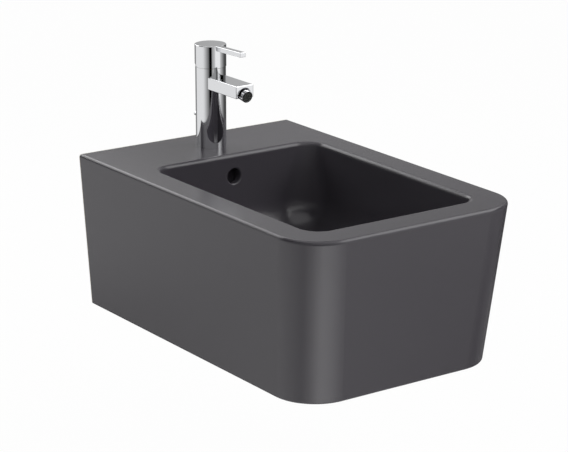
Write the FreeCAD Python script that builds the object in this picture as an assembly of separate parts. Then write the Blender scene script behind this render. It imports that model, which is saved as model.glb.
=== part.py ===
"""Wall-hung bidet with its single-lever mixer and its pop-up waste.

Millimetres. The origin is midway between the two wall fixings, on the wall face: +X is to the right
seen from the front, +Y goes into the wall and +Z is up. Every piece is a solid of its own.
"""
import FreeCAD
import Part
import math
import os

# Clearances
FIT_GAP = 0.1           # round a piece that is fixed in its seat
RUN_GAP = 0.05          # between a shaft and the hole that it turns or slides in
FREE_GAP = 0.4          # between pieces that move past each other

# Ceramic body, measured at the rim
BODY_WIDTH = 368.0
BODY_DEPTH = 560.0
BODY_HEIGHT = 229.6
FRONT_NARROWING = 3.5   # each side, from the wall to the front
SIDE_LEAN = 15.2        # each side, from the rim down to the foot
FRONT_LEAN = 27.5       # the front face, from the rim down to the foot
FRONT_CORNER = 62.6
RIM_EDGE = 4.5
FOOT_EDGE = 3.0
SKIRT_WALL = 12.0
DECK_THICKNESS = 16.0
BACK_PANEL = 16.0
PIPE_OPENING_WIDTH = 150.0
PIPE_OPENING_HEIGHT = 78.0
PIPE_OPENING_CORNER = 25.0

# Bowl
DECK_DEPTH = 127.0      # from the wall to the bowl
RIM_SIDE = 45.8
RIM_FRONT = 49.0
BOWL_DEPTH = 120.0
BOWL_WALL = 10.0
BOWL_BACK_CORNER = 26.0
BOWL_FRONT_CORNER = 26.0
BOWL_FLOOR_CORNER = 60.0
BOWL_FLOOR_ROUND = 45.0
BOWL_SIDE_LEAN = 8.0
BOWL_FRONT_LEAN = 18.0
BOWL_EDGE = 6.0

# Drain in the bowl's floor
DRAIN_FROM_WALL = 250.0
DRAIN_HOLE = 46.0
DRAIN_LAND = 40.0       # thickness of the ceramic that the waste clamps
DRAIN_BOSS_WALL = 19.0
DISH_WIDTH = 32.0       # the sloping ring round the flange's recess
DISH_DEPTH = 6.0
RECESS_MARGIN = 2.5     # from the flange's edge to the recess's edge

# Overflow
OVERFLOW_HOLE = 22.0
OVERFLOW_BELOW_RIM = 33.0
OVERFLOW_LIP = 3.0
DUCT_WIDTH = 26.0
DUCT_GAP = 12.0
DUCT_WALL = 8.0

# Wall fixings
FIXING_SPACING = 180.0
RIM_ABOVE_FIXINGS = 80.0
FIXING_BORE = 12.2
SLEEVE_DIAMETER = 20.0
SLEEVE_FLANGE = 32.0
SLEEVE_FLANGE_THICKNESS = 3.0
FIXING_WASHER = 28.0
FIXING_WASHER_THICKNESS = 2.5
FIXING_NUT = 19.0       # across flats
FIXING_NUT_HEIGHT = 10.0

# Mixer body, heights from the deck
MIXER_FROM_WALL = 66.4
MIXER_DIAMETER = 44.6
MIXER_HEIGHT = 119.0    # up to the joint under the handle
TAP_HOLE = 35.0
SPIGOT_GAP = 0.7
SPIGOT_LENGTH = 6.0
GASKET_WIDTH = 2.6
GASKET_HEIGHT = 2.0
GASKET_MARGIN = 1.7     # from the body's edge to the gasket's groove
SPOUT_WIDTH = 30.0
SPOUT_HEIGHT = 18.2
SPOUT_DROP = 12.4       # from the body's top to the spout's top
SPOUT_REACH = 88.5      # from the body's axis to the spout's end
SPOUT_EDGE = 1.2
SPOUT_FLARE = 3.5       # radius of the hollow between the spout's side and the pillar
FLARE_SINK = 0.3        # how far the flare runs into the pillar
CHANNEL_DIAMETER = 8.0
CHAMBER_DIAMETER = 36.0
CHAMBER_DEPTH = 37.0
INLET_DIAMETER = 9.4
INLET_LENGTH = 14.0
INLET_SEAT = 10.8       # the wider mouth below the inlet's thread
SEAT_ABOVE_DECK = 0.6   # from the deck up to the mouth's end
WATERWAY_DIAMETER = 7.0
INLET_SPACING = 17.0
INLET_BEHIND = 2.0      # behind the body's axis

# Mixer's fixing under the deck
STUD_DIAMETER = 8.0
STUD_AHEAD = 11.5       # in front of the body's axis
STUD_GRIP = 20.0        # length inside the body
STUD_TAIL = 7.0         # below the nut
CLAMP_DIAMETER = 52.0
CLAMP_SLOT = 31.0
CLAMP_GASKET = 3.0
CLAMP_PLATE = 2.5
CLAMP_NUT = 13.0        # across flats
CLAMP_NUT_HEIGHT = 6.5

# Cartridge
CARTRIDGE_BASE = 5.0
CARTRIDGE_SIDE_GAP = 0.8
BASE_SEAL_WIDTH = 1.9
BASE_SEAL_HEIGHT = 2.0
ANNULUS_GAP = 2.0       # the water's way round the housing
HOUSING_WALL = 2.0
HOUSING_FLANGE = 3.0
CARTRIDGE_RING = 3.0    # height of the O-ring under the housing's flange
CARTRIDGE_NUT = 7.0
NUT_RECESS = 2.0        # from the body's top down to the nut
NUT_BORE = 23.0
DISC_THICKNESS = 4.0
MOVING_DISC = 21.0
DISC_HOLLOW = 13.0
DRIVE_BLOCK = 12.0
DRIVE_HEIGHT = 4.0
NECK_DIAMETER = 18.4
NECK_ABOVE_HOUSING = 2.0
PIVOT_BELOW_HOUSING = 4.0
PIVOT_PIN = 3.0
PIN_ABOVE_SHOULDER = 1.0
STEM_SIZE = 8.0
STEM_TIP = 5.6
STEM_TIP_ROOM = 1.0     # for the tip to tilt in the disc's pocket
STEM_ABOVE_PIVOT = 32.0

# Handle
HANDLE_DIAMETER = 45.9
HANDLE_HEIGHT = 32.2
HANDLE_GAP = 0.6        # the joint between body and handle
HANDLE_WALL = 3.5
HANDLE_ROOF = 10.0
HANDLE_EDGE = 0.8
HANDLE_LIFT = 18.0      # degrees
BEVEL_MARGIN = 2.0      # degrees that the cut behind the handle opens past its lift
LEVER_WIDTH = 9.6
LEVER_THICKNESS = 7.0
LEVER_REACH = 84.4      # from the handle's axis to the lever's end
LEVER_RISE = 1.6
LEVER_EDGE = 0.6
STEM_BOSS = 17.0
BOSS_ABOVE_JOINT = 2.4
SCREW_DIAMETER = 6.0
SCREW_LENGTH = 6.0
SCREW_ABOVE_JOINT = 12.0
INDEX_PLUG = 7.0
INDEX_PLUG_DEPTH = 2.5

# Swivelling nozzle in the spout's end
NOZZLE_DIAMETER = 17.4
NOZZLE_LENGTH = 12.0    # from the ball's centre to the nozzle's end
NOZZLE_TILT = 11.0      # degrees below the horizontal
NOZZLE_TAIL = 5.0       # from the ball's centre back to the nozzle's tail
NOZZLE_MOUTH = 10.0     # opening round the neck
POCKET_DIAMETER = 22.0
BALL_DIAMETER = 11.2
BALL_BEHIND_END = 5.2   # from the spout's end back to the ball's centre
BALL_ABOVE_SPOUT_FOOT = 4.8
BALL_NECK = 6.4
BALL_BORE = 4.4
BALL_SHOULDER = 11.6
BALL_SHOULDER_THICKNESS = 2.5
BALL_SHOULDER_BACK = 12.5
BALL_THREAD = 9.2
BALL_THREAD_LENGTH = 11.5
SEAT_RING_WALL = 0.9
SEAT_RING_BACK = 3.2
SEAT_RING_FRONT = 1.2
AERATOR_DIAMETER = 14.6
AERATOR_THICKNESS = 4.4
AERATOR_RECESS = 0.6
AERATOR_JET = 1.5
JET_RING_STEP = 2.8     # from one ring of jets to the next

# Pop-up lift behind the mixer
LIFT_TRAVEL = 30.0
LIFT_HEADROOM = 11.4    # from the raised knob's axis to the cartridge's chamber
LIFT_BEHIND = 13.5      # behind the mixer's axis
LIFT_ROD = 5.0
LIFT_HEAD = 6.8
LIFT_HEAD_HEIGHT = 9.0
LIFT_BORE = 7.4
KNOB_PIN = 3.0
KNOB_DIAMETER = 6.2
KNOB_LENGTH = 15.5
KNOB_BEHIND = 26.7      # from the mixer's axis back to the knob's root
KNOB_EDGE = 1.0
STRAP_WIDTH = 14.0
STRAP_THICKNESS = 1.6
STRAP_LENGTH = 70.0
STRAP_HOLE = 8.0
STRAP_HOLE_STEP = 13.0
STRAP_FOOT = 8.0        # below the hole that is used
STRAP_CLAMP = 12.0      # width and height of the block on the lift rod
STRAP_CLAMP_WALL = 2.5  # in front of the rod and behind it
LIFT_ROD_TAIL = 6.0     # below the block
STRAP_SCREW = 4.0
STRAP_SCREW_HEAD = 8.0
STRAP_SCREW_HEAD_HEIGHT = 4.0

# Waste
FLANGE_DIAMETER = 63.0
FLANGE_THICKNESS = 3.0
FLANGE_EDGE = 1.2
FLANGE_SEAL = 1.5
WASTE_TUBE = 40.0
WASTE_TUBE_WALL = 2.5
WASTE_MOUTH = 50.0
WASTE_MOUTH_DEPTH = 8.0
OVERFLOW_SLOT_WIDTH = 12.0
OVERFLOW_SLOT_HEIGHT = 12.0
WASTE_GASKET = 5.0
WASTE_COLLAR = 66.0
WASTE_COLLAR_THICKNESS = 6.0
WASTE_SOCKET_WALL = 5.0
WASTE_SOCKET_DEPTH = 14.0
WASTE_CHAMBER = 32.0
WASTE_CHAMBER_WALL = 4.0
WASTE_CHAMBER_HEIGHT = 24.0
TAIL_DIAMETER = 32.0
TAIL_WALL = 2.0
TAIL_LENGTH = 18.0
PLUG_DIAMETER = 52.0
PLUG_THICKNESS = 5.0
PLUG_EDGE = 2.0
PLUG_HUB = 34.0
PLUG_FOOT = 37.0
PLUG_FOOT_THICKNESS = 1.3
PLUG_SEAL = 41.6
PLUG_SEAL_HEIGHT = 2.5
PLUG_STEM = 8.0
PLUG_FIN = 2.0
PLUG_FIN_HEIGHT = 30.0
PLUG_EYE_WIDTH = 13.0
PLUG_EYE_LENGTH = 6.0
PLUG_EYE_HEIGHT = 14.0
PLUG_EYE_HOLE = 6.6

# Pivot rod that works the plug
PIVOT_REACH = 36.0      # from the waste's axis to the pivot ball
PIVOT_ROD = 5.0
PIVOT_BALL = 12.0
PIVOT_TIP = 5.0         # past the waste's axis
PIVOT_END = 12.0        # past the strap
PORT_DIAMETER = 21.0
PORT_BORE = 13.0
PORT_THROAT = 9.0
PORT_SEAT = 9.0         # from the ball's centre forward to the seal's seat
PORT_END = 3.0          # from the ball's centre back to the port's end
PIVOT_SEAL = 5.0
PIVOT_NUT = 26.0
PIVOT_NUT_GRIP = 6.0
PIVOT_NUT_WALL = 4.0
PIVOT_NUT_HOLE = 9.2

# Worked out from the sizes above
Vector = FreeCAD.Vector
RIGHT = Vector(1, 0, 0)
BACK = Vector(0, 1, 0)
UP = Vector(0, 0, 1)
FULL_TURN = 360.0
PAST = 2.0              # how far a cut runs past the face that it opens

RIM_Z = RIM_ABOVE_FIXINGS
FOOT_Z = RIM_Z - BODY_HEIGHT
DECK_UNDER_Z = RIM_Z - DECK_THICKNESS
FLOOR_Z = RIM_Z - BOWL_DEPTH
RECESS_Z = FLOOR_Z - DISH_DEPTH
BOSS_FOOT_Z = RECESS_Z - DRAIN_LAND
DRAIN_Y = -DRAIN_FROM_WALL
RECESS_RADIUS = FLANGE_DIAMETER / 2 + RECESS_MARGIN

MIXER_Y = -MIXER_FROM_WALL
MIXER_TOP_Z = RIM_Z + MIXER_HEIGHT
SPIGOT_Z = RIM_Z - SPIGOT_LENGTH
THREAD_Z = RIM_Z + SEAT_ABOVE_DECK
CHAMBER_Z = MIXER_TOP_Z - CHAMBER_DEPTH
SPOUT_TOP_Z = MIXER_TOP_Z - SPOUT_DROP
SPOUT_FOOT_Z = SPOUT_TOP_Z - SPOUT_HEIGHT
SPOUT_END_Y = MIXER_Y - SPOUT_REACH
INLET_Y = MIXER_Y + INLET_BEHIND
STUD_Y = MIXER_Y - STUD_AHEAD
LIFT_Y = MIXER_Y + LIFT_BEHIND

BASE_TOP_Z = CHAMBER_Z + CARTRIDGE_BASE
FIXED_DISC_TOP_Z = BASE_TOP_Z + DISC_THICKNESS
MOVING_DISC_Z = FIXED_DISC_TOP_Z + RUN_GAP
MOVING_DISC_TOP_Z = MOVING_DISC_Z + DISC_THICKNESS
DRIVE_TOP_Z = MOVING_DISC_TOP_Z + DRIVE_HEIGHT
HOUSING_TOP_Z = MIXER_TOP_Z - NUT_RECESS - CARTRIDGE_NUT
HOUSING_RADIUS = CHAMBER_DIAMETER / 2 - ANNULUS_GAP
HOUSING_BORE = HOUSING_RADIUS - HOUSING_WALL
PIVOT_Z = HOUSING_TOP_Z - PIVOT_BELOW_HOUSING
CARRIER_TOP_Z = PIVOT_Z - PIVOT_PIN / 2 - PIN_ABOVE_SHOULDER
LIFT_RADIANS = math.radians(HANDLE_LIFT)
DISC_SHIFT = (PIVOT_Z - DRIVE_TOP_Z + DRIVE_HEIGHT / 2) * math.tan(LIFT_RADIANS)

HANDLE_Z = MIXER_TOP_Z + HANDLE_GAP
HANDLE_TOP_Z = HANDLE_Z + HANDLE_HEIGHT
HANDLE_ROOF_Z = HANDLE_TOP_Z - HANDLE_ROOF
STEM_TOP_Z = PIVOT_Z + STEM_ABOVE_PIVOT
BEVEL_RISE = (MIXER_TOP_Z - PIVOT_Z + FREE_GAP) / math.cos(LIFT_RADIANS) - (HANDLE_Z - PIVOT_Z)
BEVEL_AHEAD = BEVEL_RISE / math.tan(LIFT_RADIANS)

BALL_CENTRE = Vector(0, SPOUT_END_Y + BALL_BEHIND_END, SPOUT_FOOT_Z + BALL_ABOVE_SPOUT_FOOT)
SEAT_RADIUS = BALL_DIAMETER / 2 + RUN_GAP
SOCKET_RADIUS = SEAT_RADIUS + SEAT_RING_WALL + RUN_GAP

SEAL_Z = RECESS_Z + FLANGE_SEAL
FLANGE_TOP_Z = SEAL_Z + FLANGE_THICKNESS
COLLAR_Z = BOSS_FOOT_Z - WASTE_GASKET
SOCKET_FOOT_Z = COLLAR_Z - WASTE_SOCKET_DEPTH
PORT_Z = SOCKET_FOOT_Z - WASTE_CHAMBER_HEIGHT / 2
CHAMBER_FOOT_Z = SOCKET_FOOT_Z - WASTE_CHAMBER_HEIGHT
PIVOT_CENTRE = Vector(0, DRAIN_Y + PIVOT_REACH, PORT_Z)
STRAP_Y = LIFT_Y + LIFT_ROD / 2 + FIT_GAP + STRAP_CLAMP_WALL
PIVOT_ARM = STRAP_Y + STRAP_THICKNESS / 2 - PIVOT_CENTRE.y
PIVOT_REST = math.degrees(math.atan(LIFT_TRAVEL / 2 / PIVOT_ARM))
PLUG_TRAVEL = LIFT_TRAVEL * PIVOT_REACH / PIVOT_ARM
STRAP_HOLE_Z = PORT_Z - LIFT_TRAVEL / 2
KNOB_Z = CHAMBER_Z - LIFT_HEADROOM - LIFT_TRAVEL


def block(x_range, y_range, z_range):
    """A plain block between two values on each axis."""
    size = [high - low for low, high in (x_range, y_range, z_range)]
    return Part.makeBox(*size, Vector(x_range[0], y_range[0], z_range[0]))


def rod(diameter, start, end):
    """A round bar from one point to another."""
    line = end - start
    return Part.makeCylinder(diameter / 2, line.Length, start, line)


def tube(outer, bore, start, end):
    """A round bar with a hole along its axis."""
    reach = (end - start).normalize() * PAST
    return rod(outer, start, end).cut(rod(bore, start - reach, end + reach))


def turned(profile, centre_y):
    """A solid of revolution on an upright axis, from (radius, height) points."""
    points = [Vector(radius, centre_y, height) for radius, height in profile]
    face = Part.Face(Part.makePolygon(points + points[:1]))
    return face.revolve(Vector(0, centre_y, 0), UP, FULL_TURN)


def hexagon(across_flats, height, base, axis):
    """A hexagonal prism that starts at base and grows along axis."""
    radius = across_flats / math.sqrt(3)
    corners = []
    for step in range(6):
        angle = math.radians(60 * step + 30)
        corners.append(Vector(radius * math.cos(angle), radius * math.sin(angle), 0))
    prism = Part.Face(Part.makePolygon(corners + corners[:1])).extrude(UP * height)
    prism.Placement = FreeCAD.Placement(base, FreeCAD.Rotation(UP, axis))
    return prism


def rounded_outline(corners, radii, height):
    """A closed outline at one height, each corner rounded to its own radius."""
    points = [Vector(x, y, height) for x, y in corners]
    edges = []
    starts = []
    ends = []
    arcs = []
    for index, (corner, radius) in enumerate(zip(points, radii)):
        to_last = (points[index - 1] - corner).normalize()
        to_next = (points[(index + 1) % len(points)] - corner).normalize()
        half_angle = to_last.getAngle(to_next) / 2
        back_off = radius / math.tan(half_angle)
        starts.append(corner + to_last * back_off)
        ends.append(corner + to_next * back_off)
        inward = (to_last + to_next).normalize()
        arcs.append(corner + inward * (radius / math.sin(half_angle) - radius))
    for index, radius in enumerate(radii):
        if radius > 0:
            edges.append(Part.Arc(starts[index], arcs[index], ends[index]).toShape())
        following = (index + 1) % len(points)
        edges.append(Part.makeLine(ends[index], starts[following]))
    return Part.Wire(edges)


def edges_at_height(shape, height):
    """The edges that lie wholly at one height."""
    near = 1e-4
    level = []
    for edge in shape.Edges:
        box = edge.BoundBox
        if abs(box.ZMin - height) < near and abs(box.ZMax - height) < near:
            level.append(edge)
    return level


def skirt_outline(height, inset, back):
    """The ceramic body's plan at one height, drawn in by inset and starting back from the wall."""
    drop = (RIM_Z - height) / BODY_HEIGHT
    half_width = BODY_WIDTH / 2 - SIDE_LEAN * drop - inset
    front = BODY_DEPTH - FRONT_LEAN * drop - inset
    narrowing = FRONT_NARROWING / BODY_DEPTH
    half_back = half_width - narrowing * back
    half_front = half_width - narrowing * front
    corners = [(-half_back, -back), (half_back, -back), (half_front, -front), (-half_front, -front)]
    front_radius = FRONT_CORNER - inset
    return rounded_outline(corners, [0, 0, front_radius, front_radius], height)


def bowl_outline(height, grow):
    """The bowl's plan at one height, grown outwards for the outside of its wall."""
    drop = (RIM_Z - height) / BOWL_DEPTH
    narrowing = FRONT_NARROWING / BODY_DEPTH
    half_width = BODY_WIDTH / 2 - RIM_SIDE - BOWL_SIDE_LEAN * drop + grow
    back = DECK_DEPTH - grow
    front = BODY_DEPTH - RIM_FRONT - BOWL_FRONT_LEAN * drop + grow
    half_back = half_width - narrowing * back
    half_front = half_width - narrowing * front
    corners = [(-half_back, -back), (half_back, -back), (half_front, -front), (-half_front, -front)]
    radii = []
    for rim_corner in (BOWL_BACK_CORNER, BOWL_BACK_CORNER, BOWL_FRONT_CORNER, BOWL_FRONT_CORNER):
        radii.append(rim_corner + (BOWL_FLOOR_CORNER - rim_corner) * drop + grow)
    return rounded_outline(corners, radii, height)


def bowl_form(grow, top):
    """The bowl as a solid with a rounded floor."""
    foot = FLOOR_Z - grow
    form = Part.makeLoft([bowl_outline(foot, grow), bowl_outline(top, grow)], True, True)
    floor_round = min(BOWL_FLOOR_ROUND, 0.9 * BOWL_FLOOR_CORNER) + grow
    return form.makeFillet(floor_round, edges_at_height(form, foot))


def rim_blank():
    """The outer body with the bowl sunk in it and its edges rounded."""
    outer = Part.makeLoft([skirt_outline(FOOT_Z, 0, -PAST), skirt_outline(RIM_Z, 0, -PAST)], True, True)
    outer = outer.cut(block((-BODY_WIDTH, BODY_WIDTH), (0, 2 * PAST), (FOOT_Z - PAST, RIM_Z + PAST)))
    outer = outer.makeFillet(FOOT_EDGE, [edge for edge in edges_at_height(outer, FOOT_Z)
                                         if edge.BoundBox.YMin < -PAST])
    blank = outer.cut(bowl_form(0, RIM_Z + PAST))
    rim_edges = [edge for edge in edges_at_height(blank, RIM_Z)
                 if edge.BoundBox.YMin < -PAST and not in_bowl(edge)]
    blank = blank.makeFillet(RIM_EDGE, rim_edges)
    bowl_edges = [edge for edge in edges_at_height(blank, RIM_Z) if in_bowl(edge)]
    return blank.makeFillet(BOWL_EDGE, bowl_edges)


def in_bowl(edge):
    """Whether an edge of the rim runs round the bowl, inside the middle line of the rim."""
    box = edge.BoundBox
    half = BODY_WIDTH / 2 - RIM_SIDE / 2
    front = -(BODY_DEPTH - RIM_FRONT / 2)
    return box.XMin > -half and box.XMax < half and box.YMin > front and box.YMax < -DECK_DEPTH / 2


def drain_dish():
    """The cut for the dished floor round the drain, with the flange's flat recess in its middle."""
    outer = RECESS_RADIUS + DISH_WIDTH
    bend = (DISH_WIDTH ** 2 + DISH_DEPTH ** 2) / (4 * DISH_DEPTH)
    half_turn = math.atan(DISH_DEPTH / DISH_WIDTH)
    side = bend * math.sin(half_turn)
    sag = bend * (1 - math.cos(half_turn))

    def at(radius, height):
        return Vector(radius, DRAIN_Y, height)

    middle = at((outer + RECESS_RADIUS) / 2, FLOOR_Z - DISH_DEPTH / 2)
    upper_bend = Part.Arc(at(outer, FLOOR_Z), at(outer - side, FLOOR_Z - sag), middle)
    lower_bend = Part.Arc(middle, at(RECESS_RADIUS + side, RECESS_Z + sag), at(RECESS_RADIUS, RECESS_Z))
    profile = Part.Wire([
        Part.makeLine(at(0, FLOOR_Z + PAST), at(outer, FLOOR_Z + PAST)),
        Part.makeLine(at(outer, FLOOR_Z + PAST), at(outer, FLOOR_Z)),
        upper_bend.toShape(),
        lower_bend.toShape(),
        Part.makeLine(at(RECESS_RADIUS, RECESS_Z), at(0, RECESS_Z)),
        Part.makeLine(at(0, RECESS_Z), at(0, FLOOR_Z + PAST)),
    ])
    return Part.Face(profile).revolve(at(0, 0), UP, FULL_TURN)


def overflow_mouth():
    """The cut for the overflow hole in the bowl's back wall, with its rounded lip."""
    radius = OVERFLOW_HOLE / 2
    height = RIM_Z - OVERFLOW_BELOW_RIM
    wall = -DECK_DEPTH
    far = wall + BOWL_WALL + DUCT_GAP / 2
    corner = OVERFLOW_LIP * math.sqrt(0.5)

    def at(across, y):
        return Vector(across, y, height)

    lip_centre = at(radius + OVERFLOW_LIP, wall + OVERFLOW_LIP)
    lip = Part.Arc(at(radius + OVERFLOW_LIP, wall), lip_centre - Vector(corner, corner, 0),
                   at(radius, wall + OVERFLOW_LIP))
    profile = Part.Wire([
        Part.makeLine(at(0, wall - PAST), at(radius + OVERFLOW_LIP, wall - PAST)),
        Part.makeLine(at(radius + OVERFLOW_LIP, wall - PAST), at(radius + OVERFLOW_LIP, wall)),
        lip.toShape(),
        Part.makeLine(at(radius, wall + OVERFLOW_LIP), at(radius, far)),
        Part.makeLine(at(radius, far), at(0, far)),
        Part.makeLine(at(0, far), at(0, wall - PAST)),
    ])
    return Part.Face(profile).revolve(at(0, 0), BACK, FULL_TURN)


def overflow_duct(wall):
    """The duct from the overflow down and under the floor to the drain: its water way, or its outside."""
    half = DUCT_WIDTH / 2 + wall
    front = -DECK_DEPTH + BOWL_WALL
    back = front + DUCT_GAP + wall
    foot = BOSS_FOOT_Z + DUCT_WALL - wall
    floor_top = foot + DUCT_GAP + 2 * wall
    if wall:
        front = -DECK_DEPTH - BOWL_FLOOR_ROUND
        floor_top = FLOOR_Z
    top = RIM_Z - OVERFLOW_BELOW_RIM + OVERFLOW_HOLE / 2 + wall
    down = block((-half, half), (front, back), (foot, top))
    along = block((-half, half), (DRAIN_Y, back), (foot, floor_top))
    return down.fuse(along).removeSplitter()


def ceramic_body():
    """The one-piece ceramic: skirt, deck, bowl, back panel, drain boss and overflow duct."""
    cavity = Part.makeLoft([skirt_outline(FOOT_Z - PAST, SKIRT_WALL, BACK_PANEL),
                            skirt_outline(DECK_UNDER_Z, SKIRT_WALL, BACK_PANEL)], True, True)
    drain = Vector(0, DRAIN_Y, 0)
    boss_diameter = DRAIN_HOLE + 2 * DRAIN_BOSS_WALL
    boss = rod(boss_diameter, drain + UP * BOSS_FOOT_Z, drain + UP * FLOOR_Z)
    void = cavity.cut([bowl_form(BOWL_WALL, RIM_Z), boss, overflow_duct(DUCT_WALL)])
    cuts = [
        drain_dish(),
        rod(DRAIN_HOLE, drain + UP * (BOSS_FOOT_Z - PAST), drain + UP * FLOOR_Z),
        overflow_mouth(),
        overflow_duct(0),
        rod(TAP_HOLE, Vector(0, MIXER_Y, DECK_UNDER_Z - PAST), Vector(0, MIXER_Y, RIM_Z + PAST)),
    ]
    for side in (-1, 1):
        x = side * FIXING_SPACING / 2
        hole = SLEEVE_DIAMETER + 2 * FIT_GAP
        cuts.append(rod(hole, Vector(x, -BACK_PANEL - PAST, 0), Vector(x, PAST, 0)))
    half = PIPE_OPENING_WIDTH / 2
    top = FOOT_Z + PIPE_OPENING_HEIGHT
    corners = [(-half, FOOT_Z - PAST), (half, FOOT_Z - PAST), (half, top), (-half, top)]
    arch = rounded_outline(corners, [0, 0, PIPE_OPENING_CORNER, PIPE_OPENING_CORNER], 0)
    arch.rotate(Vector(0, 0, 0), RIGHT, 90)
    opening = Part.Face(arch).extrude(-BACK * (BACK_PANEL + 2 * PAST))
    opening.translate(BACK * PAST)
    cuts.append(opening)
    return rim_blank().cut(void).cut(cuts)


def at_both_fixings(piece):
    """Two copies of a piece, one at each wall fixing."""
    copies = []
    for side in (-1, 1):
        copies.append(piece.translated(RIGHT * (side * FIXING_SPACING / 2)))
    return Part.makeCompound(copies)


def wall_sleeves():
    """Plastic sleeves that keep the studs off the ceramic, with a flange inside the back panel."""
    panel = Vector(0, -BACK_PANEL, 0)
    sleeve = tube(SLEEVE_DIAMETER, FIXING_BORE, panel, Vector(0, 0, 0))
    flange = tube(SLEEVE_FLANGE, FIXING_BORE, panel - BACK * SLEEVE_FLANGE_THICKNESS, panel)
    return at_both_fixings(sleeve.fuse(flange).removeSplitter())


def wall_washers():
    """Steel washers on the sleeves' flanges."""
    seat = -BACK_PANEL - SLEEVE_FLANGE_THICKNESS
    end = Vector(0, seat - FIXING_WASHER_THICKNESS, 0)
    return at_both_fixings(tube(FIXING_WASHER, FIXING_BORE, end, Vector(0, seat, 0)))


def wall_nuts():
    """Hexagon nuts that draw the body to the wall."""
    seat = -BACK_PANEL - SLEEVE_FLANGE_THICKNESS - FIXING_WASHER_THICKNESS
    base = Vector(0, seat, 0)
    nut = hexagon(FIXING_NUT, FIXING_NUT_HEIGHT, base, -BACK)
    bore = rod(FIXING_BORE, base + BACK * PAST, base - BACK * (FIXING_NUT_HEIGHT + PAST))
    return at_both_fixings(nut.cut(bore))


def along_nozzle(shape):
    """Turn a shape that was made along -Y at the ball's centre down to the nozzle's own line."""
    shape.rotate(BALL_CENTRE, RIGHT, NOZZLE_TILT)
    return shape


def on_nozzle_line(distance):
    """A point on the untilted nozzle's line, ahead of the ball's centre."""
    return BALL_CENTRE - BACK * distance


def softened_bar(x_range, profile, radius):
    """A bar with a (y, height) profile, all of whose edges are rounded."""
    points = [Vector(x_range[0], y, z) for y, z in profile]
    face = Part.Face(Part.makePolygon(points + points[:1]))
    bar = face.extrude(RIGHT * (x_range[1] - x_range[0]))
    return bar.makeFillet(radius, bar.Edges)


def flare_points(side):
    """Points in plan along one side of the spout's foot: the flare's root, bend and start, and the end."""
    half = SPOUT_WIDTH / 2
    axis = Vector(0, MIXER_Y, SPOUT_FOOT_Z)
    from_axis = MIXER_DIAMETER / 2 + SPOUT_FLARE - FLARE_SINK
    ahead = math.sqrt(from_axis ** 2 - (half + SPOUT_FLARE) ** 2)
    centre = axis + Vector(side * (half + SPOUT_FLARE), -ahead, 0)
    inward = (axis - centre).normalize()
    across = RIGHT * -side
    middle = (inward + across).normalize()
    root, bend, start = [centre + way * SPOUT_FLARE for way in (inward, middle, across)]
    return root, bend, start, Vector(side * half, SPOUT_END_Y, SPOUT_FOOT_Z)


def spout_bar():
    """The square spout, flared where it meets the pillar and rounded along its edges."""
    left_root, left_bend, left_start, left_end = flare_points(-1)
    right_root, right_bend, right_start, right_end = flare_points(1)
    outline = Part.Wire([
        Part.Arc(left_root, left_bend, left_start).toShape(),
        Part.makeLine(left_start, left_end),
        Part.makeLine(left_end, right_end),
        Part.makeLine(right_end, right_start),
        Part.Arc(right_start, right_bend, right_root).toShape(),
        Part.makeLine(right_root, left_root),
    ])
    bar = Part.Face(outline).extrude(UP * SPOUT_HEIGHT)
    level = edges_at_height(bar, SPOUT_FOOT_Z) + edges_at_height(bar, SPOUT_TOP_Z)
    rounded = [edge for edge in level if edge.BoundBox.YMin < left_root.y - FIT_GAP]
    rounded += [edge for edge in bar.Edges
                if edge.BoundBox.YMax < SPOUT_END_Y + FIT_GAP and edge.BoundBox.ZLength > SPOUT_HEIGHT / 2]
    return bar.makeFillet(SPOUT_EDGE, rounded)


def mixer_body():
    """The mixer's brass casting: pillar, spout, cartridge chamber and water ways."""
    foot = Vector(0, MIXER_Y, RIM_Z)
    pillar = rod(MIXER_DIAMETER, foot, foot + UP * MIXER_HEIGHT)
    spigot = rod(TAP_HOLE - 2 * SPIGOT_GAP, foot - UP * SPIGOT_LENGTH, foot)
    body = pillar.fuse([spigot, spout_bar()]).removeSplitter()
    chamber_top = foot + UP * (MIXER_HEIGHT + PAST)
    chamber_floor = Vector(0, MIXER_Y, CHAMBER_Z)
    groove = MIXER_DIAMETER - 2 * GASKET_MARGIN + 2 * FIT_GAP
    groove_bore = groove - 2 * GASKET_WIDTH - 4 * FIT_GAP
    cuts = [
        rod(CHAMBER_DIAMETER, chamber_floor, chamber_top),
        tube(groove, groove_bore, foot - UP * FIT_GAP, foot + UP * GASKET_HEIGHT),
    ]
    for side in (-1, 1):
        inlet = Vector(side * INLET_SPACING / 2, INLET_Y, SPIGOT_Z)
        thread = Vector(inlet.x, inlet.y, THREAD_Z)
        cuts.append(rod(INLET_SEAT, inlet - UP * PAST, thread))
        cuts.append(rod(INLET_DIAMETER, inlet, thread + UP * INLET_LENGTH))
        cuts.append(rod(WATERWAY_DIAMETER, inlet, Vector(inlet.x, inlet.y, CHAMBER_Z + PAST)))
    stud_foot = Vector(0, STUD_Y, SPIGOT_Z)
    cuts.append(rod(STUD_DIAMETER + 2 * FIT_GAP, stud_foot - UP * PAST, stud_foot + UP * STUD_GRIP))
    cuts += lift_cuts()
    cuts += nozzle_cuts()
    return body.cut(cuts)


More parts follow.
